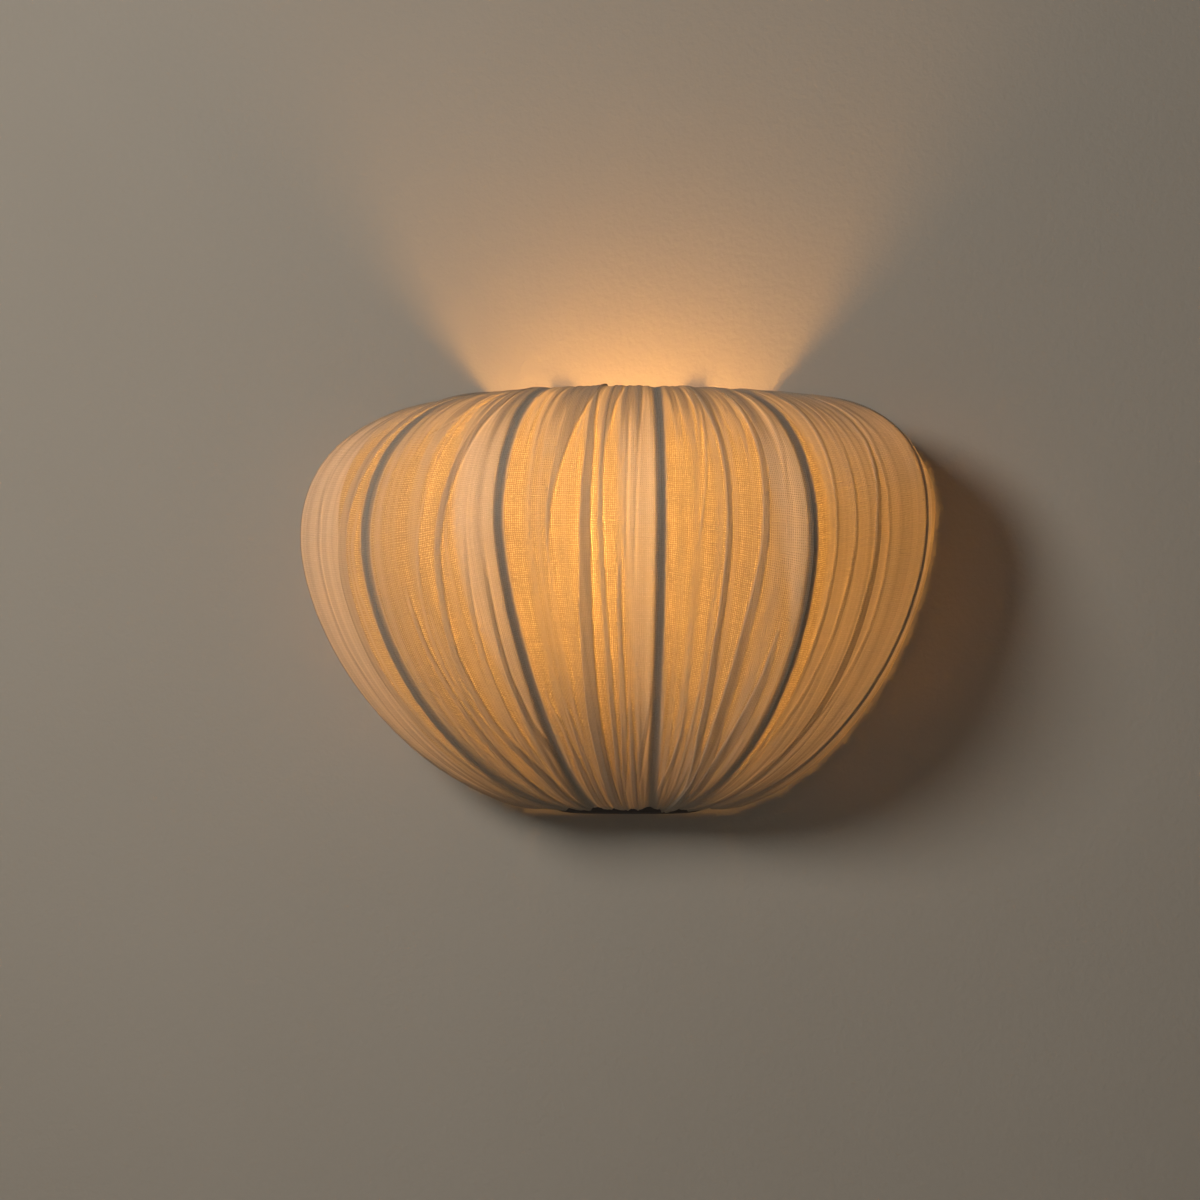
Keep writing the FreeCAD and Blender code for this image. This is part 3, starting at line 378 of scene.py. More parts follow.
def pleat_spots(line, seen_down, seen_right, local):
    """Spots on a pleat's line in the photograph: the share of the way up its panel, the share of the way
    across and the width in millimetres. Each is the panel's point that the camera sees nearest to it."""
    down, right, wide = np.array(line, float).T
    even = np.linspace(down[0], down[-1], SPOTS_ON_LINE)
    spots = []
    for y, x, pixels in zip(even, np.interp(even, down, right), np.interp(even, down, wide)):
        away = np.hypot(seen_down - y, seen_right - x)
        row, column = np.unravel_index(away.argmin(), away.shape)
        if away[row, column] > PIXELS_OFF_PANEL:
            continue
        first = max(column - SCALE_COLUMNS, 0)
        last = min(column + SCALE_COLUMNS, TRIED_COLUMNS - 1)
        stretch = np.hypot(seen_down[row, last] - seen_down[row, first],
                           seen_right[row, last] - seen_right[row, first])
        panel_pixels = stretch / (last - first) * (TRIED_COLUMNS - 1)
        width = pixels / panel_pixels * local[row]
        spots.append((row / (TRIED_ROWS - 1), column / (TRIED_COLUMNS - 1), width))
    return np.array(sorted(spots))


def pleat_line(line, seen_down, seen_right, local):
    """A pleat's place in its panel at four to six even heights, on a smooth curve through its spots,
    rounded so that it comes out the same everywhere."""
    up, across, width = pleat_spots(line, seen_down, seen_right, local).T
    reach = up[-1] - up[0]
    middle = np.polyfit(up, across, 3 if reach > 0.3 else 2)
    swelling = np.polyfit(up, width, 2)
    count = 4 + int(reach > 0.25) + int(reach > 0.41)
    heights = np.linspace(up[0], up[-1], count)
    across = np.clip(np.polyval(middle, heights), 0.02, 0.98)
    width = np.maximum(np.polyval(swelling, heights), 1.0)
    return list(zip(heights.round(2), across.round(3), width.round(1)))


def placed_pleats(pleats, left, right):
    """A panel's pleats, each with its extra layers, its height and its line between the two wires."""
    turns, length = even_turns(left, right, TRIED_ROWS, PLEAT_SKIN)
    left_edge = wire_spots(left, turns, PLEAT_SKIN)
    right_edge = wire_spots(right, turns, PLEAT_SKIN)
    share = np.linspace(0, 1, TRIED_COLUMNS)[None, :, None]
    seen_down, seen_right = photo_places(left_edge[:, None, :] * (1 - share) + right_edge[:, None, :] * share)
    local = np.linalg.norm(right_edge - left_edge, axis=1)
    return [(layers, height, pleat_line(line, seen_down, seen_right, local))
            for layers, height, line in pleats.values()]


def cloth_panel(name, node, left, right, seed, lean, seams, doubled, folds, material):
    """One panel of the cloth, from the hem at the bottom to the hem at the top."""
    points, layers, twofold, across, along = panel_grid(left, right, seed, lean, seams, doubled, folds)
    rows, columns = layers.shape
    piece = add_piece(name, points.reshape(-1, 3), grid_faces(rows, columns), material)
    point_value(piece, "layers", layers)
    point_value(piece, "twofold", twofold)
    cloth_map(piece, across, along)
    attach(piece, "shade")
    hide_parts(node)
    return piece, (float(across.max()), float(along.max()))


def rolled_hem(name, node, path, seed, material, roll=3.2, sides=28, wave=0.5):
    """A hem rolled round a wire: a lumpy tube that swells over each gather."""
    path = np.asarray(path, float)
    steps = np.linalg.norm(np.diff(path, axis=0), axis=1)
    run = np.concatenate(([0.0], np.cumsum(steps)))
    along = np.gradient(path, axis=0)
    along /= np.linalg.norm(along, axis=1, keepdims=True)
    middle = path.mean(axis=0)
    side = path - middle
    side -= (side * along).sum(axis=1, keepdims=True) * along
    side /= np.linalg.norm(side, axis=1, keepdims=True)
    other = np.cross(along, side)
    angle = np.linspace(0, 2 * math.pi, sides, endpoint=False)[None, :]
    lumps = 0.35 * np.sin(run[:, None] * 1.1 + 2.5 * wander(run[:, None] / 11, seed) + 0.6 * np.sin(angle))
    lumps = lumps + wave * 0.5 * wander(run[:, None] / 2.2, seed + 3)
    lumps = lumps + 0.25 * np.sin(2 * angle + run[:, None] / 4)
    radius = roll + lumps
    points = path[:, None, :] + radius[..., None] * (np.cos(angle)[..., None] * side[:, None, :]
                                                     + np.sin(angle)[..., None] * other[:, None, :])
    rows = len(path)
    piece = add_piece(name, points.reshape(-1, 3), grid_faces(rows, sides, True), material)
    point_value(piece, "layers", 2.6 + 0.8 * lumps)
    cloth_map(piece, np.ones((rows, 1)) * angle * roll / 1000, run[:, None] / 1000 * np.ones((1, sides)))
    mesh = bmesh.new()
    mesh.from_mesh(piece.data)
    bmesh.ops.holes_fill(mesh, edges=[edge for edge in mesh.edges if edge.is_boundary], sides=0)
    bmesh.ops.recalc_face_normals(mesh, faces=mesh.faces)
    mesh.to_mesh(piece.data)
    mesh.free()
    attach(piece, "shade")
    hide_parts(node)
    return piece


def ring_path(ring, first, last, count):
    """Points of a half oval ring between two turns."""
    turns = np.linspace(first, last, count)
    points = np.array([ring_spot(turn, ring) for turn in turns])
    points[:, 2] = ring[2]
    return points


def hem_line(ring, out, lift):
    """A stitch line on the outside of a ring's hem."""
    path = ring_path((ring[0] + out, ring[1] + out, ring[2]), -80.0, 80.0, 200)
    path[:, 2] += lift
    return path


# Stitches and weld beads, as Geometry Nodes that follow a path

def bead_tree(name, rings):
    """A tree that sets oval beads along a path: by a pitch, as stitches, or on each point, as weld beads."""
    tree = bpy.data.node_groups.new(name, "GeometryNodeTree")
    tree.interface.new_socket("Path", in_out="INPUT", socket_type="NodeSocketGeometry")
    for label in ("Pitch", "Length", "Thickness", "Unevenness"):
        tree.interface.new_socket(label, in_out="INPUT", socket_type="NodeSocketFloat")
    tree.interface.new_socket("Beads", in_out="OUTPUT", socket_type="NodeSocketGeometry")
    nodes, links = tree.nodes, tree.links
    given, beads = nodes.new("NodeGroupInput"), nodes.new("NodeGroupOutput")
    spots = given.outputs["Path"]
    if rings:
        curve = nodes.new("GeometryNodeMeshToCurve")
        links.new(spots, curve.inputs["Mesh"])
        even = nodes.new("GeometryNodeResampleCurve")
        even.mode = "LENGTH"
        links.new(curve.outputs[0], even.inputs["Curve"])
        links.new(given.outputs["Pitch"], even.inputs["Length"])
        spots = even.outputs[0]
    ball = nodes.new("GeometryNodeMeshIcoSphere")
    ball.inputs["Radius"].default_value = 0.5
    ball.inputs["Subdivisions"].default_value = 2
    size = nodes.new("ShaderNodeCombineXYZ")
    links.new(given.outputs["Thickness"], size.inputs["X"])
    links.new(given.outputs["Thickness"], size.inputs["Y"])
    links.new(given.outputs["Length"], size.inputs["Z"])
    chance = nodes.new("FunctionNodeRandomValue")
    chance.inputs["Seed"].default_value = 41
    spread = nodes.new("ShaderNodeMath")
    spread.operation = "MULTIPLY_ADD"
    links.new(chance.outputs[1], spread.inputs[0])
    links.new(given.outputs["Unevenness"], spread.inputs[1])
    spread.inputs[2].default_value = 0.8
    uneven = nodes.new("ShaderNodeVectorMath")
    uneven.operation = "SCALE"
    links.new(size.outputs[0], uneven.inputs[0])
    links.new(spread.outputs[0], uneven.inputs["Scale"])
    turned = nodes.new("FunctionNodeAlignRotationToVector")
    turned.axis = "Z"
    direction = nodes.new("GeometryNodeInputTangent" if rings else "GeometryNodeInputNormal")
    links.new(direction.outputs[0], turned.inputs["Vector"])
    placed = nodes.new("GeometryNodeInstanceOnPoints")
    links.new(spots, placed.inputs["Points"])
    links.new(ball.outputs["Mesh"], placed.inputs["Instance"])
    links.new(turned.outputs[0], placed.inputs["Rotation"])
    links.new(uneven.outputs[0], placed.inputs["Scale"])
    real = nodes.new("GeometryNodeRealizeInstances")
    links.new(placed.outputs[0], real.inputs[0])
    finish = nodes.new("GeometryNodeSetMaterial")
    links.new(real.outputs[0], finish.inputs["Geometry"])
    links.new(finish.outputs[0], beads.inputs[0])
    return tree, finish


def beads_on_path(name, paths, rings, sizes, material):
    """A mesh of beads along one or more paths in millimetres, on the shade."""
    points = [point for path in paths for point in path]
    edges, first = [], 0
    for path in paths:
        edges += [(first + i, first + i + 1) for i in range(len(path) - 1)] if rings else []
        first += len(path)
    mesh = bpy.data.meshes.new(name + "_path")
    mesh.from_pydata([tuple(point) for point in mm(points)], edges, [])
    guide = bpy.data.objects.new(name + "_path", mesh)
    bpy.context.scene.collection.objects.link(guide)
    tree, finish = bead_tree(name, rings)
    finish.inputs["Material"].default_value = material
    modifier = guide.modifiers.new("beads", "NODES")
    modifier.node_group = tree
    identifiers = {item.name: item.identifier for item in tree.interface.items_tree if item.in_out == "INPUT"}
    for label, value in sizes.items():
        modifier[identifiers[label]] = value
    bpy.context.view_layer.update()
    plain = bpy.data.meshes.new_from_object(guide.evaluated_get(bpy.context.evaluated_depsgraph_get()))
    plain.polygons.foreach_set("use_smooth", [True] * len(plain.polygons))
    guide.modifiers.remove(modifier)
    bpy.data.objects.remove(guide)
    piece = bpy.data.objects.new(name, plain)
    bpy.context.scene.collection.objects.link(piece)
    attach(piece, "shade")
    return piece


# Materials

class Shading:
    """Builds a material's nodes, one short call for each."""

    def __init__(self, name):
        self.material = bpy.data.materials.new(name)
        self.material.use_nodes = True
        self.tree = self.material.node_tree
        self.shader = self.tree.nodes["Principled BSDF"]
        self.output = self.tree.nodes["Material Output"]

    def node(self, kind, settings=(), **values):
        node = self.tree.nodes.new(kind)
        for key, value in settings:
            setattr(node, key, value)
        for key, value in values.items():
            self.put(node, key.replace("_", " "), value)
        return node

    def put(self, node, socket, value):
        target = node.inputs[socket] if not socket.isdigit() else node.inputs[int(socket)]
        if isinstance(value, bpy.types.NodeSocket):
            self.tree.links.new(value, target)
        elif target.type == "RGBA":
            target.default_value = tuple(value[:3]) + (1.0,)
        else:
            target.default_value = value

    def math(self, operation, first, second=0.0, third=0.0):
        node = self.node("ShaderNodeMath", (("operation", operation),))
        for number, value in enumerate((first, second, third)):
            self.put(node, str(number), value)
        return node.outputs[0]

    def noise(self, vector, scale, detail=3.0, roughness=0.55):
        return self.node("ShaderNodeTexNoise", Vector=vector, Scale=scale, Detail=detail,
                         Roughness=roughness).outputs["Fac"]

    def mix(self, share, first, second):
        node = self.node("ShaderNodeMix", (("data_type", "RGBA"),))
        self.put(node, "0", share)
        self.put(node, "6", first)
        self.put(node, "7", second)
        return node.outputs[2]

    def scaled(self, colour, amount):
        node = self.node("ShaderNodeVectorMath", (("operation", "SCALE"),))
        self.put(node, "0", colour)
        self.put(node, "Scale", amount)
        return node.outputs[0]

    def remap(self, value, low, high, to_low, to_high):
        node = self.node("ShaderNodeMapRange")
        for number, entry in enumerate((value, low, high, to_low, to_high)):
            self.put(node, str(number), entry)
        return node.outputs[0]

    def stretched(self, vector, scale):
        node = self.node("ShaderNodeMapping", Vector=vector, Scale=scale)
        return node.outputs[0]

    def bump(self, height, strength, distance):
        node = self.node("ShaderNodeBump", Strength=strength, Distance=distance, Height=height)
        self.put(self.shader, "Normal", node.outputs[0])
        return node.outputs[0]

    def place(self):
        return self.node("ShaderNodeTexCoord").outputs["Object"]


def finish_material(name, colour, roughness, metallic=0.0, grain=400.0, spread=0.06, depth=0.00002,
                    rough_spread=0.12, stretch=(1.0, 1.0, 1.0), wear=None):
    """A painted, plated or moulded finish with fine grain, uneven gloss and a little colour variation."""
    make = Shading(name)
    place = make.stretched(make.place(), stretch)
    fine = make.noise(place, grain, 4.0, 0.6)
    broad = make.noise(place, grain / 18, 3.0, 0.5)
    darker = tuple(part * (1 - spread) for part in colour)
    lighter = tuple(min(1.0, part * (1 + spread)) for part in colour)
    tone = make.mix(make.remap(broad, 0.3, 0.7, 0.0, 1.0), darker, lighter)
    if wear:
        worn = make.remap(make.noise(place, grain / 6, 5.0, 0.7), wear[0], wear[0] + 0.05, 0.0, 1.0)
        tone = make.mix(worn, tone, wear[1])
    make.put(make.shader, "Base Color", tone)
    make.put(make.shader, "Metallic", metallic)
    uneven = make.remap(fine, 0.25, 0.75, roughness - rough_spread, roughness + rough_spread)
    make.put(make.shader, "Roughness", uneven)
    make.bump(fine, 0.35, depth)
    return make.material


# The weave: metres from thread to thread and how far threads sway; how much threads, slubs and grain close or
# open the cloth; the share of the light that each further layer lets pass; the share of the cloth's look that
# is light from behind; and the share of what passes that goes nearly straight through
THREAD_PITCH = 0.0013
THREAD_SWAY = 0.0022
THREADS_CLOSE = -0.75
SLUBS_CLOSE = -1.6
GRAIN_CLOSES = -3.4
PASSED_BY_LAYER = 0.68
GLOW_SHARE = 0.35
STRAIGHT_SHARE = 0.0028


def muslin_material(name, thin, thick, twice, deep_fold_painted_shade, through, brightness):
    """Open weave cotton: uneven threads both ways. Where layers lie on each other it is paler and lets less
    of the lamplight through, and a little of the light goes nearly straight through its openings. Where most
    layers stack, in deep pleats and in the seams over the wires, its colour turns darker again: painted shade
    of those folds and of the wires behind."""
    make = Shading(name)
    threads = make.node("ShaderNodeUVMap", (("uv_map", "threads"),)).outputs[0]
    apart = make.node("ShaderNodeSeparateXYZ", Vector=threads)
    sway = make.math("SUBTRACT", make.noise(threads, 75.0, 2.0), 0.5)
    sway = make.math("MULTIPLY", sway, THREAD_SWAY)
    turn = 2 * math.pi / THREAD_PITCH
    warp, weft = (make.math("SINE", make.math("MULTIPLY", make.math("ADD", place, sway), turn))
                  for place in apart.outputs[:2])
    slub_up = make.noise(make.stretched(threads, (900.0, 45.0, 1.0)), 1.0, 2.0, 0.6)
    slub_across = make.noise(make.stretched(threads, (45.0, 900.0, 1.0)), 1.0, 2.0, 0.6)
    weave = make.math("ADD", warp, weft)
    slubs = make.math("SUBTRACT", make.math("ADD", slub_up, slub_across), 1.0)
    grain = make.math("SUBTRACT", make.noise(threads, 620.0, 2.0, 0.6), 0.5)
    layers = make.node("ShaderNodeAttribute", (("attribute_name", "layers"),)).outputs["Fac"]
    single = make.remap(layers, 1.1, 2.0, 1.0, 0.0)
    open_part = make.math("ADD", make.math("MULTIPLY", weave, THREADS_CLOSE),
                          make.math("MULTIPLY", slubs, SLUBS_CLOSE))
    open_part = make.math("ADD", open_part, make.math("MULTIPLY", grain, GRAIN_CLOSES))
    open_part = make.math("MULTIPLY", open_part, make.remap(layers, 1.0, 3.5, 1.0, 0.5))
    passes = make.math("POWER", PASSED_BY_LAYER, make.math("SUBTRACT", layers, 1.0))
    passes = make.math("MULTIPLY", passes, make.math("MAXIMUM", make.math("ADD", 1.0, open_part), 0.25))
    # The colour for the most layers, in deep pleats and the seams over the wires, is darker than the colour
    # for two layers: painted shade.
    tint = make.mix(single, make.mix(make.remap(layers, 2.4, 3.8, 0.0, 1.0), thick, deep_fold_painted_shade), thin)
    twofold = make.node("ShaderNodeAttribute", (("attribute_name", "twofold"),)).outputs["Fac"]
    pale = make.math("MULTIPLY", twofold, make.remap(layers, 1.5, 3.2, 1.0, 0.0))
    tint = make.mix(pale, tint, twice)
    shade = make.math("ADD", 0.93, make.math("MULTIPLY", open_part, -0.35))
    neps = make.node("ShaderNodeTexVoronoi", Vector=threads, Scale=24.0)
    fleck = make.remap(neps.outputs["Distance"], 0.012, 0.025, 0.3, 1.0)
    make.put(make.shader, "Base Color", make.scaled(tint, make.math("MULTIPLY", shade, fleck)))
    make.put(make.shader, "Roughness", 0.92)
    make.put(make.shader, "Sheen Weight", 0.12)
    make.put(make.shader, "Sheen Roughness", 0.5)
    make.put(make.shader, "Specular IOR Level", 0.12)
    relief = make.math("ADD", make.math("MULTIPLY", weave, 0.6), make.math("MULTIPLY", slubs, 2.0))
    normal = make.bump(relief, 0.6, 0.00016)
    glow = make.node("ShaderNodeBsdfTranslucent")
    strength = make.math("MULTIPLY", make.math("MULTIPLY", passes, fleck), brightness)
    make.put(glow, "Color", make.scaled(through, strength))
    make.put(glow, "Normal", normal)
    lit = make.node("ShaderNodeMixShader")
    make.put(lit, "0", GLOW_SHARE)
    make.put(lit, "1", make.shader.outputs[0])
    make.put(lit, "2", glow.outputs[0])
    opening = make.node("ShaderNodeBsdfRefraction", Color=(1.0, 0.97, 0.9, 1.0), Roughness=1.0, IOR=1.45)
    whole = make.node("ShaderNodeMixShader")
    make.put(whole, "0", make.math("MULTIPLY", make.math("POWER", passes, 3.0), STRAIGHT_SHARE))
    make.put(whole, "1", lit.outputs[0])
    make.put(whole, "2", opening.outputs[0])
    make.put(make.output, "Surface", whole.outputs[0])
    return make.material


GLOBE_STRENGTH = 84.0


def opal_material():
    """The lit opal globe, a little darker towards its collar."""
    make = Shading("lit_opal")
    place = make.place()
    height = make.node("ShaderNodeSeparateXYZ", Vector=place).outputs[2]
    fade = make.remap(height, -0.004, 0.012, 0.55, 1.0)
    cloud = make.remap(make.noise(place, 90.0, 2.0), 0.3, 0.7, 0.96, 1.04)
    make.put(make.shader, "Base Color", (0.9, 0.87, 0.8, 1.0))
    make.put(make.shader, "Roughness", 0.35)
    make.put(make.shader, "Emission Color", (1.0, 0.47, 0.09, 1.0))
    strength = make.math("MULTIPLY", make.math("MULTIPLY", fade, cloud), GLOBE_STRENGTH)
    make.put(make.shader, "Emission Strength", strength)
    return make.material


def plastic(name, colour, roughness, grain, spread=0.06):
    """A moulded finish."""
    return finish_material(name, colour, roughness, grain=grain, spread=spread)


def metal(name, colour, roughness, grain, spread=0.1, stretch=(1.0, 1.0, 1.0)):
    """A bare or plated metal finish."""
    return finish_material(name, colour, roughness, 1.0, grain, spread, stretch=stretch)


MATERIALS = {
    "white_paint": lambda: finish_material("white_paint", (0.78, 0.77, 0.74), 0.45, grain=900.0,
                                           depth=0.00003),
    "zinc_steel": lambda: metal("zinc_steel", (0.62, 0.62, 0.60), 0.34, 1500.0, stretch=(1.0, 1.0, 0.2)),
    "black_rubber": lambda: plastic("black_rubber", (0.025, 0.025, 0.026), 0.72, 700.0),
    "white_plastic": lambda: plastic("white_plastic", (0.80, 0.79, 0.75), 0.38, 1200.0, 0.03),
    "cream_plastic": lambda: plastic("cream_plastic", (0.70, 0.62, 0.46), 0.55, 1000.0),
    "earth_insulation": lambda: plastic("earth_insulation", (0.30, 0.52, 0.08), 0.42, 900.0),
    "live_insulation": lambda: plastic("live_insulation", (0.20, 0.085, 0.03), 0.42, 900.0),
    "neutral_insulation": lambda: plastic("neutral_insulation", (0.05, 0.15, 0.42), 0.42, 900.0),
    "contact_brass": lambda: metal("contact_brass", (0.78, 0.58, 0.28), 0.3, 1400.0, 0.12),
    "nickel_cap": lambda: metal("nickel_cap", (0.70, 0.68, 0.64), 0.26, 1300.0),
    "black_plastic": lambda: plastic("black_plastic", (0.02, 0.02, 0.022), 0.4, 1100.0),
    "driver_green": lambda: plastic("driver_green", (0.04, 0.22, 0.09), 0.5, 800.0),
    "board_white": lambda: plastic("board_white", (0.82, 0.82, 0.80), 0.5, 900.0),
    "opal_globe": opal_material,
    "frame_paint": lambda: finish_material("frame_paint", (0.66, 0.65, 0.62), 0.42, grain=1100.0, spread=0.08,
                                           depth=0.00004, wear=(0.72, (0.35, 0.34, 0.33))),
    "dark_paint": lambda: finish_material("dark_paint", (0.012, 0.005, 0.004), 0.6, grain=900.0, spread=0.2,
                                          depth=0.00003),
    # The fourth colour of each muslin, for the most layers, is painted shade for deep pleats and the seams
    # over the wires.
    "muslin": lambda: muslin_material("muslin", (0.44, 0.35, 0.24), (0.68, 0.58, 0.46), (0.85, 0.75, 0.64),
                                      (0.56, 0.48, 0.39), (1.0, 0.85, 0.58), 0.62),
    "muslin_hem": lambda: muslin_material("muslin_hem", (0.50, 0.42, 0.32), (0.66, 0.57, 0.47),
                                          (0.66, 0.57, 0.47), (0.58, 0.49, 0.40), (1.0, 0.84, 0.60), 0.45),
}


# Room and lights

def plain_plane(name, corners, material):
    mesh = bpy.data.meshes.new(name)
    mesh.from_pydata(corners, [], [(0, 1, 2, 3)])
    mesh.materials.append(material)
    plane = bpy.data.objects.new(name, mesh)
    bpy.context.scene.collection.objects.link(plane)
    return plane


def wall_material():
    """Painted plaster, open from behind, so that the back of the light can be looked at."""
    make = Shading("plaster_wall")
    place = make.place()
    peel = make.noise(place, 260.0, 3.0, 0.6)
    make.put(make.shader, "Base Color", make.mix(make.remap(make.noise(place, 3.0), 0.3, 0.7, 0.0, 1.0),
                                                 (0.47, 0.425, 0.37, 1.0), (0.49, 0.445, 0.39, 1.0)))
    make.put(make.shader, "Roughness", 0.9)
    make.put(make.shader, "Specular IOR Level", 0.2)
    make.bump(peel, 0.6, 0.0006)
    behind = make.node("ShaderNodeNewGeometry").outputs["Backfacing"]
    shadow = make.node("ShaderNodeLightPath").outputs["Is Shadow Ray"]
    clear = make.node("ShaderNodeBsdfTransparent")
    whole = make.node("ShaderNodeMixShader")
    make.put(whole, "0", make.math("MAXIMUM", behind, shadow))
    make.put(whole, "1", make.shader.outputs[0])
    make.put(whole, "2", clear.outputs[0])
    make.put(make.output, "Surface", whole.outputs[0])
    return make.material


def floor_material():
    make = Shading("pale_floor")
    place = make.place()
    make.put(make.shader, "Base Color", make.mix(make.noise(place, 5.0), (0.60, 0.58, 0.54, 1.0),
                                                 (0.64, 0.62, 0.58, 1.0)))
    make.put(make.shader, "Roughness", 0.7)
    make.bump(make.noise(place, 180.0), 0.2, 0.0003)
    return make.material


def soft_light(name, place, aim, size, power, colour):
    data = bpy.data.lights.new(name, "AREA")
    data.shape = "DISK"
    data.size = size
    data.energy = power
    data.color = colour
    light = bpy.data.objects.new(name, data)
    light.location = place
    light.rotation_mode = "QUATERNION"
    light.rotation_quaternion = (Vector(aim) - Vector(place)).to_track_quat("-Z", "Y")
    bpy.context.scene.collection.objects.link(light)


def set_room():
    """A plaster wall behind the light, a pale floor far below, and soft light mostly from the left."""
    plain_plane("wall", [(-2.5, 0.0004, -1.0), (2.5, 0.0004, -1.0), (2.5, 0.0004, 1.8), (-2.5, 0.0004, 1.8)],
                wall_material())
    plain_plane("floor", [(-4.0, -5.0, -1.0), (4.0, -5.0, -1.0), (4.0, 4.0, -1.0), (-4.0, 4.0, -1.0)],
                floor_material())
    soft_light("window_left", (-0.8, -1.4, 0.6), (0.0, 0.0, 0.0), 0.6, 12.6, (1.0, 0.95, 0.87))
    soft_light("fill_front", (0.9, -2.4, 0.5), (0.0, 0.0, 0.0), 1.6, 1.0, (1.0, 0.94, 0.86))
    soft_light("fill_behind", (0.5, 1.6, 0.7), (0.0, 0.0, 0.0), 1.4, 1.2, (1.0, 0.95, 0.88))
    world = bpy.data.worlds.new("studio")
    world.use_nodes = True
    nodes, links = world.node_tree.nodes, world.node_tree.links
    background = nodes["Background"]
    background.inputs["Color"].default_value = (0.86, 0.84, 0.80, 1.0)
    path = nodes.new("ShaderNodeLightPath")
    seen = path.outputs["Is Camera Ray"]
    for ray in ("Is Glossy Ray", "Is Transmission Ray"):
        either = nodes.new("ShaderNodeMath")
        either.operation = "MAXIMUM"
        links.new(seen, either.inputs[0])
        links.new(path.outputs[ray], either.inputs[1])
        seen = either.outputs[0]
    strength = nodes.new("ShaderNodeMapRange")
    links.new(seen, strength.inputs[0])
    strength.inputs[3].default_value = 0.03
    strength.inputs[4].default_value = 0.8
    links.new(strength.outputs[0], background.inputs["Strength"])
    bpy.context.scene.world = world


# Build the light

set_camera()
set_room()
bpy.context.scene.view_settings.view_transform = "Standard"

finishes = {slot: make() for slot, make in MATERIALS.items()}
slot_of = {row["node"]: row["material_slot"] for row in frame["record"]["subparts"]}
for node_name, node in frame["nodes"].items():
    node.data.materials.clear()
    node.data.materials.append(finishes[slot_of[node_name]])
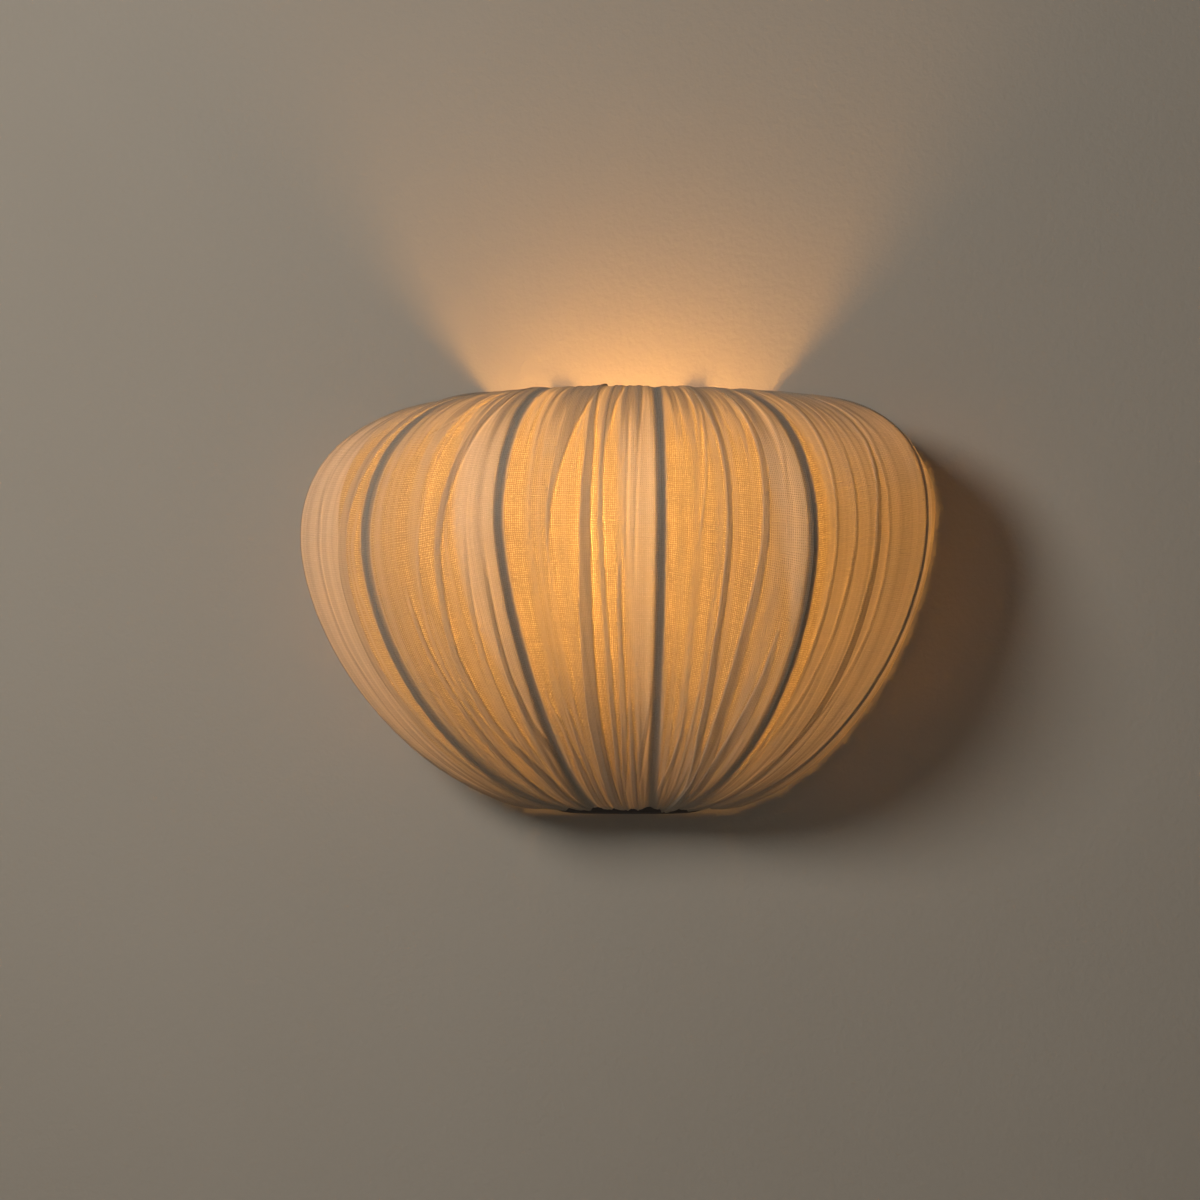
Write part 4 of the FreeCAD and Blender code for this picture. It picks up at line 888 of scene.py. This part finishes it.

# Pleats of the panels that the photograph shows, each with its name, its extra layers, its height in
# millimetres and its line as it was read in the photograph: pixels down, to the right and wide.
PLEATS = {
    "left_outer": {
        "broad grey band": (1.5, 1.0, (
            (427, 397, 6), (447, 377, 7), (467, 362, 8), (490, 352, 9), (530, 342, 9), (570, 345, 9),
            (592, 347, 9), (622, 355, 9), (652, 365, 8), (677, 380, 7), (700, 397, 6), (720, 417, 6),
            (742, 440, 6), (765, 465, 6), (782, 490, 5))),
        "short line by the rib": (0.9, 0.5, (
            (500, 359, 3), (530, 354, 3), (560, 353, 3), (592, 357.5, 3), (622, 370, 3), (640, 380, 3))),
        "faint line at the edge": (0.6, 0.3, (
            (470, 330, 2.5), (500, 322, 2.5), (540, 318, 2.5), (580, 322, 2.5), (620, 333, 2.5),
            (660, 352, 2.5), (700, 380, 3))),
    },
    "left_inner": {
        "bright crease at the top": (-0.9, -0.2, (
            (395, 495, 3), (407, 480, 3), (414, 465, 3), (420, 452, 3), (426, 442, 3), (435, 432, 3))),
        "long fold": (1.9, 1.1, (
            (405, 500, 6), (422, 480, 6), (437, 467, 7), (452, 461, 7), (467, 457, 7), (485, 452, 7),
            (510, 445, 7), (530, 440, 7), (550, 437, 7), (572, 435, 7), (590, 435, 6), (615, 440, 6),
            (657, 452, 6), (690, 470, 6), (725, 492, 7), (755, 520, 8), (780, 545, 8))),
        "fold right of the long one": (1.1, 0.6, (
            (545, 466, 3), (572, 465, 3.5), (590, 466, 4), (640, 477, 6), (672, 487, 6), (707, 500, 7),
            (737, 517, 7), (762, 537, 7))),
        "fold at the lower left": (1.5, 0.9, (
            (597, 405, 3), (635, 420, 4), (657, 430, 4), (682, 442, 4), (702, 455, 4), (722, 470, 4),
            (740, 485, 5), (762, 505, 5), (785, 530, 5))),
        "faint line left of the long one": (0.7, 0.4, (
            (440, 445, 2), (480, 430, 2), (520, 420, 2), (560, 415, 2), (600, 418, 2.5), (640, 430, 3),
            (670, 445, 3), (700, 462, 3), (730, 485, 3))),
        "edge of the doubled strip": (1.3, 0.8, (
            (560, 484, 2.5), (597, 488, 4), (640, 498, 4), (672, 507, 4), (705, 520, 5), (735, 537, 5),
            (762, 560, 5))),
    },
    "front": {
        "wedge at the top": (1.9, 0.9, (
            (392, 582, 22), (410, 576, 20), (425, 570, 16), (440, 563, 12), (452, 558, 8), (465, 554, 5),
            (480, 552, 3), (500, 550, 3), (520, 548, 2.5), (545, 545, 2))),
        "broad fold": (2.2, 1.2, (
            (392, 597, 4), (402, 596, 5), (425, 591, 6), (445, 590, 7), (465, 589, 8), (485, 587, 10),
            (510, 586, 12), (540, 585, 12), (570, 585, 13), (597, 585, 12), (640, 586, 11), (665, 589, 12),
            (690, 591, 13), (715, 593, 13), (740, 598, 13), (765, 604, 12), (785, 608, 8))),
        "line right of the broad fold": (1.6, 0.9, (
            (402, 606, 3), (435, 603, 3), (470, 602, 3.5), (510, 602, 4), (545, 601, 4), (585, 604, 5),
            (627, 604, 5), (665, 607, 4), (695, 612, 4), (720, 615, 4), (750, 619, 4), (780, 620, 4),
            (800, 621, 4))),
        "lower line": (1.5, 0.8, (
            (560, 619, 2), (590, 619, 4), (622, 620, 4), (655, 621, 5), (690, 622, 5), (715, 624, 5),
            (740, 625, 5), (770, 625, 4), (797, 624, 4))),
        "short line at the top": (1.3, 0.7, (
            (390, 617, 8), (400, 613, 7), (415, 609, 5), (430, 606, 4), (450, 604, 3))),
        "short line at the bottom": (1.4, 0.8, (
            (702, 630, 3), (731, 631, 4), (765, 634, 4), (797, 635, 4))),
        "slanting line at the bottom right": (1.2, 0.7, (
            (700, 650, 2), (720, 648, 3), (750, 642, 4), (785, 637, 4))),
        "slanting line at the bottom left": (1.2, 0.7, (
            (697, 562, 2), (730, 575, 3), (760, 585, 4), (785, 595, 4))),
        "fainter one left of it": (1.0, 0.6, (
            (700, 548, 2), (715, 555, 2), (745, 570, 3), (775, 585, 3))),
        "fine line at the top right": (0.7, 0.4, (
            (400, 627, 3), (450, 626, 2.5), (500, 625, 2.5), (560, 625, 2))),
        "fine line right of it": (0.6, 0.3, (
            (400, 640, 3), (450, 636, 2.5), (520, 634, 2), (580, 633, 2))),
    },
    "right_inner": {
        "first line at the top": (1.0, 0.6, (
            (392, 692, 4), (410, 697, 4), (425, 699, 3), (445, 700, 2))),
        "second line at the top": (1.1, 0.6, (
            (412, 702, 2.5), (425, 705, 2.5), (440, 707, 3), (460, 708, 3), (480, 705, 3), (500, 703, 2.5),
            (535, 702, 2))),
        "long fold": (2.1, 1.2, (
            (395, 695, 5), (407, 707, 5), (417, 717, 5), (430, 724, 5), (445, 727, 5), (465, 729, 5),
            (485, 728, 5), (510, 727, 5), (535, 727, 5), (560, 726, 5), (585, 725, 5), (615, 722, 6),
            (640, 719, 6), (665, 715, 6), (690, 710, 7), (715, 705, 7), (740, 700, 7), (770, 694, 6),
            (790, 687, 5))),
        "fold that widens downwards": (2.0, 1.2, (
            (392, 720, 5), (397, 735, 5), (410, 745, 5), (422, 753, 4), (440, 760, 4), (460, 765, 4),
            (485, 766, 4), (510, 766, 4), (535, 765, 5), (560, 762, 7), (580, 760, 8), (597, 756, 9),
            (620, 750, 10), (647, 742, 11), (670, 736, 12), (692, 730, 12), (717, 722, 12), (740, 715, 11),
            (760, 707, 10), (782, 697, 8))),
        "fold at the lower right": (1.7, 1.0, (
            (627, 780, 3), (652, 775, 5), (677, 765, 8), (702, 755, 9), (720, 745, 10), (745, 730, 10),
            (775, 710, 8))),
        "pink band at the top right": (0.9, 0.5, (
            (400, 755, 3), (415, 768, 4), (432, 778, 4), (450, 784, 4), (470, 787, 3), (490, 788, 2))),
        "line at the bottom left": (1.2, 0.7, (
            (700, 688, 2), (730, 684, 3), (752, 679, 4), (772, 669, 5), (790, 661, 4))),
    },
    "right_outer": {
        "first pleat": (1.3, 0.8, (
            (397, 772, 3), (405, 790, 3), (417, 812, 3), (432, 825, 3), (450, 832, 3), (470, 836, 3),
            (510, 836, 3), (547, 832, 3), (585, 829, 3), (602, 826, 3), (635, 820, 3), (665, 810, 4),
            (690, 797, 4), (715, 785, 4), (735, 772, 4), (760, 750, 4), (785, 725, 4))),
        "second pleat": (1.1, 0.7, (
            (402, 800, 3), (415, 825, 3), (440, 842, 3), (460, 850, 3), (480, 855, 3), (500, 857, 3),
            (522, 856, 3), (550, 852, 3), (585, 850, 3), (620, 842, 3), (650, 830, 3), (680, 815, 4),
            (710, 796, 4), (740, 772, 4), (765, 750, 4))),
        "outermost pleat": (1.0, 0.6, (
            (403, 825, 3), (412, 850, 3), (425, 867, 3), (442, 877, 3), (460, 885, 3), (480, 889, 3),
            (500, 890, 3), (522, 889, 3), (560, 886, 3), (600, 880, 3), (640, 868, 3), (680, 848, 3),
            (710, 828, 3), (740, 798, 3), (765, 768, 3))),
        "pleat between those two": (1.7, 1.1, (
            (440, 868, 3), (470, 875, 4), (510, 879, 5), (535, 877, 5), (572, 874, 5), (600, 869, 6),
            (620, 862, 6), (647, 852, 6), (675, 840, 6), (702, 825, 6), (722, 812, 6), (745, 795, 6),
            (765, 775, 6), (785, 750, 5))),
    },
}

# Where two layers lie on each other beside a wire: the share of the way up, then the shares across between
# which they lie.
DOUBLED = {
    "left_back": (((0.0, 0.0, 1.0), (1.0, 0.0, 1.0)),),
    "left_outer": (((0.0, 0.0, 0.55), (0.3, 0.0, 0.60), (0.6, 0.0, 0.62), (0.95, 0.0, 0.30)),),
    "left_inner": (((0.0, 0.88, 1.0), (0.3, 0.84, 1.0), (0.5, 0.70, 1.0), (0.72, 0.66, 1.0),
                    (1.0, 0.72, 1.0)),),
    "front": (((0.0, 0.86, 1.0), (0.3, 0.84, 1.0), (0.55, 0.79, 1.0), (0.8, 0.74, 1.0), (1.0, 0.70, 1.0)),),
    "right_inner": (((0.45, 0.97, 1.0), (0.6, 0.80, 1.0), (0.85, 0.66, 1.0), (1.0, 0.60, 1.0)),),
    "right_outer": (((0.05, 0.30, 1.0), (0.5, 0.12, 1.0), (0.9, 0.10, 1.0), (1.0, 0.2, 1.0)),),
    "right_back": (((0.0, 0.0, 0.5), (1.0, 0.0, 0.5)),),
}

# Panels from left to right: the number that starts a panel's random draws, the side that its pleats lean to,
# and the width in millimetres of the seam at its left and its right wire.
PANELS = (
    ("left_back", 11, 1, (2.0, 1.0)),
    ("left_outer", 12, 1, (1.0, 4.4)),
    ("left_inner", 13, 1, (3.8, 2.6)),
    ("front", 14, 1, (2.6, 2.4)),
    ("right_inner", 15, -1, (2.4, 2.6)),
    ("right_outer", 16, -1, (2.6, 0.8)),
    ("right_back", 17, -1, (7.5, 2.0)),
)
hem_cloth = finishes["muslin_hem"]
hems = [
    rolled_hem("hem_top", "top_hem", ring_path(TOP_RING, -88.0, 88.0, 420), 31, hem_cloth),
    rolled_hem("hem_bottom", "bottom_hem", ring_path(BOTTOM_RING, -84.0, 84.0, 260), 32, hem_cloth),
]
for side, line in (("left", LINES[0]), ("right", LINES[-1])):
    turns, length = even_turns(line, line, 420)
    path = wire_spots(line, turns, 0.0)[6:-6]
    hems.append(rolled_hem("hem_" + side, side + "_edge_hem", path, 33, hem_cloth, 3.0, 20, 0.3))
for (panel, seed, lean, seams), left, right in zip(PANELS, LINES, LINES[1:]):
    folds = placed_pleats(PLEATS[panel], left, right) if panel in PLEATS else []
    piece, flat = cloth_panel("muslin_" + panel, "cloth_" + panel, left, right, seed, lean, seams,
                              DOUBLED[panel], folds, finishes["muslin"])

beads_on_path("hem_stitches", [hem_line(TOP_RING, 3.5, -1.0), hem_line(BOTTOM_RING, 3.5, 1.2)], True,
              {"Pitch": 0.0034, "Length": 0.0026, "Thickness": 0.0006, "Unevenness": 0.35},
              hem_cloth)
feet = [line["foot"] + np.array((0.0, 0.0, BOTTOM_RING[2])) for line in LINES]
heads = [line["foot"] + line["top_distance"] * line["outward"] + np.array((0.0, 0.0, TOP_RING[2]))
         for line in LINES]
beads_on_path("frame_welds", [feet + heads], False,
              {"Pitch": 0.0, "Length": 0.0052, "Thickness": 0.0050, "Unevenness": 0.25},
              finishes["frame_paint"])
